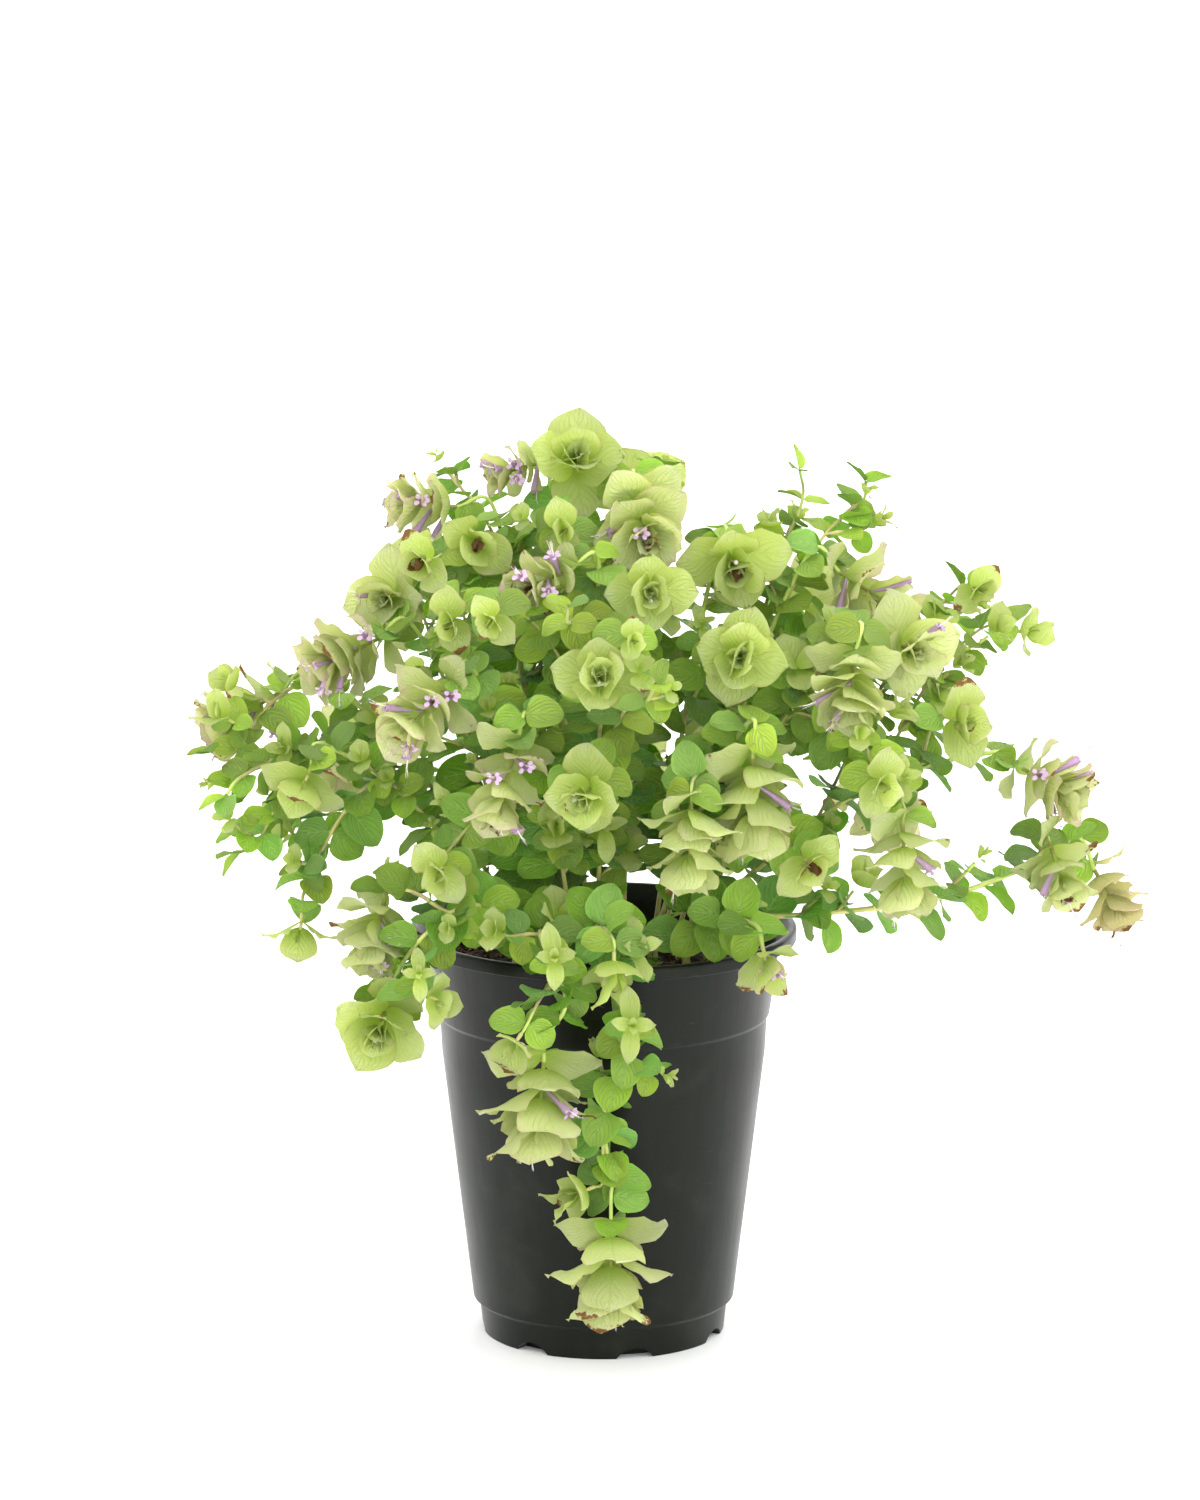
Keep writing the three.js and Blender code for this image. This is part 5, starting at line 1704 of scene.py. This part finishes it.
class Graph:
    """A material's nodes, made and joined by short calls."""

    def __init__(self, name):
        self.material = bpy.data.materials.new(name)
        self.material.use_nodes = True
        self.nodes = self.material.node_tree.nodes
        self.links = self.material.node_tree.links
        self.nodes.clear()

    def add(self, kind, inputs, output=0, **settings):
        node = self.nodes.new(kind)
        for name, value in settings.items():
            setattr(node, name, value)
        for name, value in inputs.items():
            if isinstance(value, bpy.types.NodeSocket):
                self.links.new(value, node.inputs[name])
            else:
                node.inputs[name].default_value = value
        return node.outputs[output]

    def math(self, operation, first, second=0.0):
        return self.add("ShaderNodeMath", {0: first, 1: second}, operation=operation)

    def times(self, first, second):
        return self.math("MULTIPLY", first, second)

    def sum(self, first, first_share, second, second_share):
        return self.math("ADD", self.times(first, first_share), self.times(second, second_share))

    def band(self, value, low, high):
        """0 below low, 1 above high, and smooth between."""
        inputs = {"Value": value, "From Min": low, "From Max": high}
        return self.add("ShaderNodeMapRange", inputs, interpolation_type="SMOOTHSTEP")

    def blend(self, share, first, second, blend_type="MIX"):
        return self.add("ShaderNodeMix", {0: share, 6: first, 7: second}, output=2,
                        data_type="RGBA", blend_type=blend_type)

    def layer(self, colour, paint, mask, share=None):
        """A paint laid over a colour where the mask is 1, and thinned to a share."""
        return self.blend(mask if share is None else self.times(mask, share), colour, paint)

    def brightened(self, colour, light):
        """The colour as it is where the light is 0.5, and brighter where it is more."""
        double = self.times(light, 2.0)
        return self.add("ShaderNodeVectorMath", {0: colour, "Scale": double}, operation="SCALE")

    def tone(self):
        colour = self.add("ShaderNodeAttribute", {}, attribute_name="Tone")
        node = self.nodes.new("ShaderNodeSeparateColor")
        self.links.new(colour, node.inputs[0])
        return node.outputs[0], node.outputs[1], node.outputs[2]

    def place(self):
        """How far from the rib, 0 to 1, and how far along a blade."""
        spot = self.add("ShaderNodeUVMap", {}, uv_map="Place")
        node = self.nodes.new("ShaderNodeSeparateXYZ")
        self.links.new(spot, node.inputs[0])
        centred = self.math("SUBTRACT", self.times(node.outputs[0], 2.0), 1.0)
        return self.math("ABSOLUTE", centred), node.outputs[1]

    def spot(self):
        return self.add("ShaderNodeTexCoord", {}, output=3)

    def noise(self, scale, detail, vector=None):
        inputs = {"Vector": vector or self.spot(), "Scale": scale, "Detail": detail}
        return self.add("ShaderNodeTexNoise", inputs)

    def net(self, scale, width):
        inputs = {"Vector": self.spot(), "Scale": scale}
        return self.band(self.add("ShaderNodeTexVoronoi", inputs, feature="DISTANCE_TO_EDGE"), width, 0.0)

    def bump(self, height, distance):
        return self.add("ShaderNodeBump", {"Height": height, "Distance": distance, "Strength": 1.0})

    def skin(self, colour, normal, **finish):
        """A shader whose finish is told by its sockets' names, with _ for each space."""
        inputs = {name.replace("_", " "): value for name, value in finish.items()}
        return self.add("ShaderNodeBsdfPrincipled", {"Base Color": colour, "Normal": normal, **inputs})

    def finish(self, surface):
        output = self.nodes.new("ShaderNodeOutputMaterial")
        self.links.new(surface, output.inputs[0])
        return self.material


def veins(graph, across, along, count, slant, width):
    """Curved side veins that leave the rib towards the tip, and the rib itself, as lines from 0 to 1."""
    swept = graph.math("SUBTRACT", along, graph.times(graph.math("POWER", across, VEIN_ARCH), slant))
    phase = graph.math("FRACT", graph.times(graph.math("ADD", swept, 1.0), count))
    side = graph.math("ABSOLUTE", graph.math("SUBTRACT", phase, 0.5))
    lines = graph.band(side, width, 0.0)
    fade = graph.band(across, 1.0, 0.5)
    rib = graph.band(across, RIB_WIDTH, 0.0)
    return graph.math("MAXIMUM", graph.times(lines, fade), rib)


def thin_surface(graph, colour, normal, roughness, glow, share):
    """A surface that lets a share of the light through, tinted by its glow on the way."""
    through = graph.blend(1.0, colour, glow, "MULTIPLY")
    skin = graph.skin(colour, normal, Roughness=roughness, Specular_IOR_Level=0.26,
                      Sheen_Weight=0.06, Sheen_Roughness=0.4)
    back = graph.add("ShaderNodeBsdfTranslucent", {"Color": through, "Normal": normal})
    return graph.finish(graph.add("ShaderNodeMixShader", {0: share, 1: skin, 2: back}))


def leaf_material():
    """Dull green to lime with age, with paler veins, net and margin, and sunken veins."""
    graph = Graph("leaf")
    light, cool, youth = graph.tone()
    across, along = graph.place()
    lines = veins(graph, across, along, *LEAF_VEINS)
    net = graph.net(*LEAF_NET)
    colour = graph.blend(graph.noise(*LEAF_PATCHES), LEAF_DARK, LEAF_LIGHT)
    colour = graph.layer(colour, LEAF_YOUNG, youth)
    colour = graph.layer(colour, LEAF_COOL, cool, share=0.75)
    colour = graph.layer(colour, LEAF_VEIN, lines, share=0.85)
    colour = graph.layer(colour, LEAF_VEIN, net, share=0.16)
    colour = graph.layer(colour, LEAF_VEIN, graph.band(across, 0.9, 1.0), share=0.35)
    colour = graph.brightened(colour, light)
    normal = graph.bump(graph.sum(lines, -0.9, net, -0.35), LEAF_RELIEF)
    return thin_surface(graph, colour, normal, 0.5, LEAF_GLOW, LEAF_THROUGH)


def bract_material(tint):
    """Green at its foot and pale at its tip, with raised veins, blush, a dry edge and scorched spots."""
    graph = Graph(f"bract_{tint}")
    light, blush, scorch = graph.tone()
    across, along = graph.place()
    foot, body, tip = BRACT_PAINTS[tint]
    lines = veins(graph, across, along, *BRACT_VEINS)
    net = graph.net(*BRACT_NET)
    patches = graph.noise(*BRACT_PATCHES)
    outer = graph.times(graph.band(along, 0.45, 1.05), graph.band(patches, 0.2, 0.75))
    mottled = graph.times(blush, graph.band(graph.noise(*BLUSH_PATCHES), 0.3, 0.62))
    edge = graph.times(graph.band(across, 0.9, 1.0), graph.band(patches, 0.42, 0.6))
    spots = graph.band(graph.math("ADD", graph.noise(*SCORCH_PATCHES), scorch), 0.94, 1.06)
    colour = graph.blend(graph.band(along, 0.05, 0.5), foot, body)
    colour = graph.layer(colour, tip, outer)
    colour = graph.layer(colour, BRACT_VEIN, lines, share=0.2)
    colour = graph.layer(colour, BRACT_VEIN, net, share=0.3)
    colour = graph.layer(colour, BRACT_BLUSH, mottled)
    colour = graph.layer(colour, BRACT_EDGE, edge, share=0.5)
    colour = graph.layer(colour, BRACT_SCORCH, spots)
    colour = graph.brightened(colour, light)
    normal = graph.bump(graph.sum(lines, 0.8, net, 0.5), BRACT_RELIEF)
    return thin_surface(graph, colour, normal, 0.55, BRACT_GLOW, BRACT_THROUGH)


def floret_material():
    graph = Graph("floret")
    light, white, deep = graph.tone()
    patches = graph.noise(*FLORET_PATCHES)
    colour = graph.blend(patches, FLORET_DARK, FLORET_LIGHT)
    colour = graph.layer(colour, FLORET_DEEP, deep, share=0.8)
    colour = graph.layer(colour, FLORET_WHITE, white)
    colour = graph.brightened(colour, light)
    return thin_surface(graph, colour, graph.bump(patches, FLORET_RELIEF), 0.5, FLORET_GLOW, FLORET_THROUGH)


def stem_material():
    """Tan with pale streaks, greener to the end of an arm and browner in patches on twigs."""
    graph = Graph("stem")
    light, green, brown = graph.tone()
    streaks = graph.noise(*STEM_STREAKS)
    patches = graph.times(brown, graph.band(graph.noise(*STEM_PATCHES), 0.35, 0.6))
    colour = graph.blend(streaks, STEM_TAN, STEM_PALE)
    colour = graph.layer(colour, STEM_GREEN, green, share=0.75)
    colour = graph.layer(colour, STEM_BROWN, patches)
    colour = graph.brightened(colour, light)
    normal = graph.bump(streaks, STEM_RELIEF)
    return graph.finish(graph.skin(colour, normal, Roughness=0.55, Sheen_Weight=0.2))


def soil_material():
    """Black and brown clods with grey grit, and straw where the tone says so."""
    graph = Graph("soil_crumb")
    light, straw, _ = graph.tone()
    grit = graph.noise(*SOIL_GRIT)
    clods = graph.noise(*SOIL_CLODS)
    colour = graph.blend(clods, SOIL_BLACK, SOIL_BROWN)
    colour = graph.layer(colour, SOIL_GREY, graph.band(grit, 0.62, 0.72))
    colour = graph.layer(colour, SOIL_STRAW, straw)
    colour = graph.brightened(colour, light)
    normal = graph.bump(graph.math("ADD", grit, graph.times(clods, 1.5)), SOIL_RELIEF)
    return graph.finish(graph.skin(colour, normal, Roughness=0.9, Specular_IOR_Level=0.2))


def pot_material():
    """Blown charcoal plastic with faint upright flow marks, scuffs and dust."""
    graph = Graph("pot_plastic_skin")
    spot = graph.spot()
    drawn = graph.add("ShaderNodeMapping", {"Vector": spot, "Scale": (1, 1, 0.12)})
    flat = graph.add("ShaderNodeMapping", {"Vector": spot, "Scale": (0.3, 0.3, 3)})
    flow = graph.noise(*POT_FLOW, drawn)
    scuffs = graph.noise(*POT_SCUFFS, flat)
    dust = graph.noise(*POT_DUSTING)
    grain = graph.noise(*POT_GRAIN)
    colour = graph.blend(flow, POT_DARK, POT_LIGHT)
    colour = graph.layer(colour, POT_SCUFF, graph.band(scuffs, 0.66, 0.8))
    colour = graph.layer(colour, POT_DUST, graph.band(dust, 0.5, 0.8), share=0.35)
    rough = graph.add("ShaderNodeMapRange", {"Value": dust, "From Min": 0.3, "From Max": 0.7,
                                             "To Min": 0.3, "To Max": 0.42})
    normal = graph.bump(graph.math("ADD", graph.times(grain, 0.35), flow), POT_RELIEF)
    return graph.finish(graph.skin(colour, normal, Roughness=rough, Specular_IOR_Level=0.18,
                                   Sheen_Weight=0.1, Sheen_Roughness=0.3))


def floor_material():
    graph = Graph("floor_paper")
    colour = graph.blend(graph.noise(*FLOOR_FLECKS), FLOOR_GREY, FLOOR_LIGHT)
    return graph.finish(graph.add("ShaderNodeBsdfPrincipled", {"Base Color": colour, "Roughness": 0.9}))


LEAF_MATERIAL = leaf_material()
BRACT_MATERIALS = {tint: bract_material(tint) for tint in BRACT_PAINTS}
FLORET_MATERIAL = floret_material()
STEM_MATERIAL = stem_material()
SOIL_MATERIAL = soil_material()
POT_MATERIAL = pot_material()


# Plant


def arm_youth(arm, blade):
    """How young a leaf looks: more so far along its arm, and out at the plant's sides and top."""
    if arm.bears in ("sprig", "tuft"):
        return SHOOT_YOUTH
    spread = sqrt(blade.foot.x ** 2 + blade.foot.y ** 2) / PLANT_REACH
    growth = (TRUNK_YOUTH if arm.is_trunk else TWIG_YOUTH) * blade.share
    if arm.bears == "tip":
        growth = mix(*TIP_YOUTH, blade.share)
    return LEAST_YOUTH + growth + SIDE_YOUTH * spread ** 2 + HIGH_YOUTH * soft_step(*HIGH, blade.foot.z)


def add_leaves(pile, arm, blades):
    for place, blade in enumerate(blades):
        blade.youth = arm_youth(arm, blade)
        add_leaf(pile, blade, arm.seed * SEEDS_PER_ARM + place)


def add_bracts(pile, arm, blades, tint, first=0):
    for place, blade in enumerate(blades, first):
        add_bract(pile, blade, arm.seed * SEEDS_PER_ARM + place, tint)


def build_stem(stem, number):
    """A leafy stem with its arms, cups and side shoots, as one piece for each material."""
    runs, leaves, cups, blooms = Pile(), Pile(), Pile(), Pile()
    for arm in stem_arms(stem, number):
        add_stem(runs, arm)
        add_leaves(leaves, arm, solid_leaves(arm) + extra_leaves(arm))
        if arm.bears == "cup":
            add_bracts(cups, arm, all_bracts(arm), arm.tint)
            add_core(runs, arm)
            add_florets(blooms, arm)
            if arm.scraps:
                add_scraps(cups, arm)
        for shoot, cup, young in side_shoots(arm):
            add_stem(runs, shoot)
            add_bracts(cups, shoot, cup, shoot.tint)
            add_leaves(leaves, shoot, young)
    node = f"leafy_stem_{stem.name}"
    runs.make(f"stem_runs_{stem.name}", STEM_MATERIAL, "stem_tan", node)
    leaves.make(f"leaves_{stem.name}", LEAF_MATERIAL, "leaf_green", node)
    if cups.count:
        cups.make(f"cups_{stem.name}", BRACT_MATERIALS["lime"], "bract_lime", node)
    if blooms.count:
        blooms.make(f"cup_florets_{stem.name}", FLORET_MATERIAL, "floret_lilac", node)


def build_heads(stem, number):
    """The heads at the ends of a stem's arms, each as its bracts and its florets."""
    for place, arm in enumerate(stem.arms):
        if not arm.head:
            continue
        head = grown_head(replace(arm, seed=number * 10 + place))
        bracts, blooms = Pile(), Pile()
        add_core(bracts, head)
        add_bracts(bracts, head, all_bracts(head), head.tint)
        if head.bears == "hop" and head.drop > COLLAR_DROP:
            add_bracts(bracts, head, collar(head), "lime", COLLAR_SEED)
        add_florets(blooms, head)
        if head.scraps:
            add_scraps(bracts, head)
        bracts.make(f"bracts_{head.head}", BRACT_MATERIALS[head.tint], f"bract_{head.tint}", head.node)
        blooms.make(f"florets_{head.head}", FLORET_MATERIAL, "floret_lilac", head.node)


# Room


def build_floor():
    mesh = bpy.data.meshes.new("floor")
    corners = [(x * FLOOR_REACH, y * FLOOR_REACH, 0) for x, y in ((-1, -1), (1, -1), (1, 1), (-1, 1))]
    mesh.from_pydata(corners, [], [(0, 1, 2, 3)])
    mesh.materials.append(floor_material())
    floor_piece = bpy.data.objects.new("floor", mesh)
    bpy.context.scene.collection.objects.link(floor_piece)
    floor_piece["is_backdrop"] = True


def build_sky():
    world = bpy.data.worlds.new("studio")
    world.use_nodes = True
    sky = world.node_tree.nodes["Background"]
    sky.inputs["Color"].default_value = (1, 1, 1, 1)
    sky.inputs["Strength"].default_value = SKY_STRENGTH
    bpy.context.scene.world = world
    bpy.context.scene.view_settings.view_transform = "Standard"


def build_light(name, place, size, power, shines=True):
    """A round lamp that looks at the plant. One that doesn't shine leaves no gloss on the pot."""
    light = bpy.data.lights.new(name, "AREA")
    light.shape = "DISK"
    light.size = size
    light.energy = power
    lamp = bpy.data.objects.new(name, light)
    lamp.location = place
    lamp.visible_glossy = shines
    lamp.rotation_euler = (LIT_POINT - Vector(place)).to_track_quat("-Z", "Y").to_euler()
    bpy.context.scene.collection.objects.link(lamp)


def build_camera():
    lens = bpy.data.cameras.new("camera")
    lens.lens = FOCAL * SENSOR / PICTURE_HEIGHT
    lens.sensor_width = SENSOR
    lens.clip_end = 100
    eye = bpy.data.objects.new("camera", lens)
    eye.location = EYE
    eye.rotation_euler = (pi / 2 - PITCH, 0, 0)
    bpy.context.scene.collection.objects.link(eye)
    bpy.context.scene.camera = eye


build_camera()
build_floor()
build_sky()
for lamp in LAMPS:
    build_light(*lamp)
build_pot()
build_soil()
build_crumbs()
build_fibres()
build_seedlings()
for number, stem in enumerate(STEMS):
    build_heads(stem, number)
for number, stem in enumerate(STEMS):
    build_stem(stem, number)

[[list(corner) for corner in box] for box in (cad_box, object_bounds())]
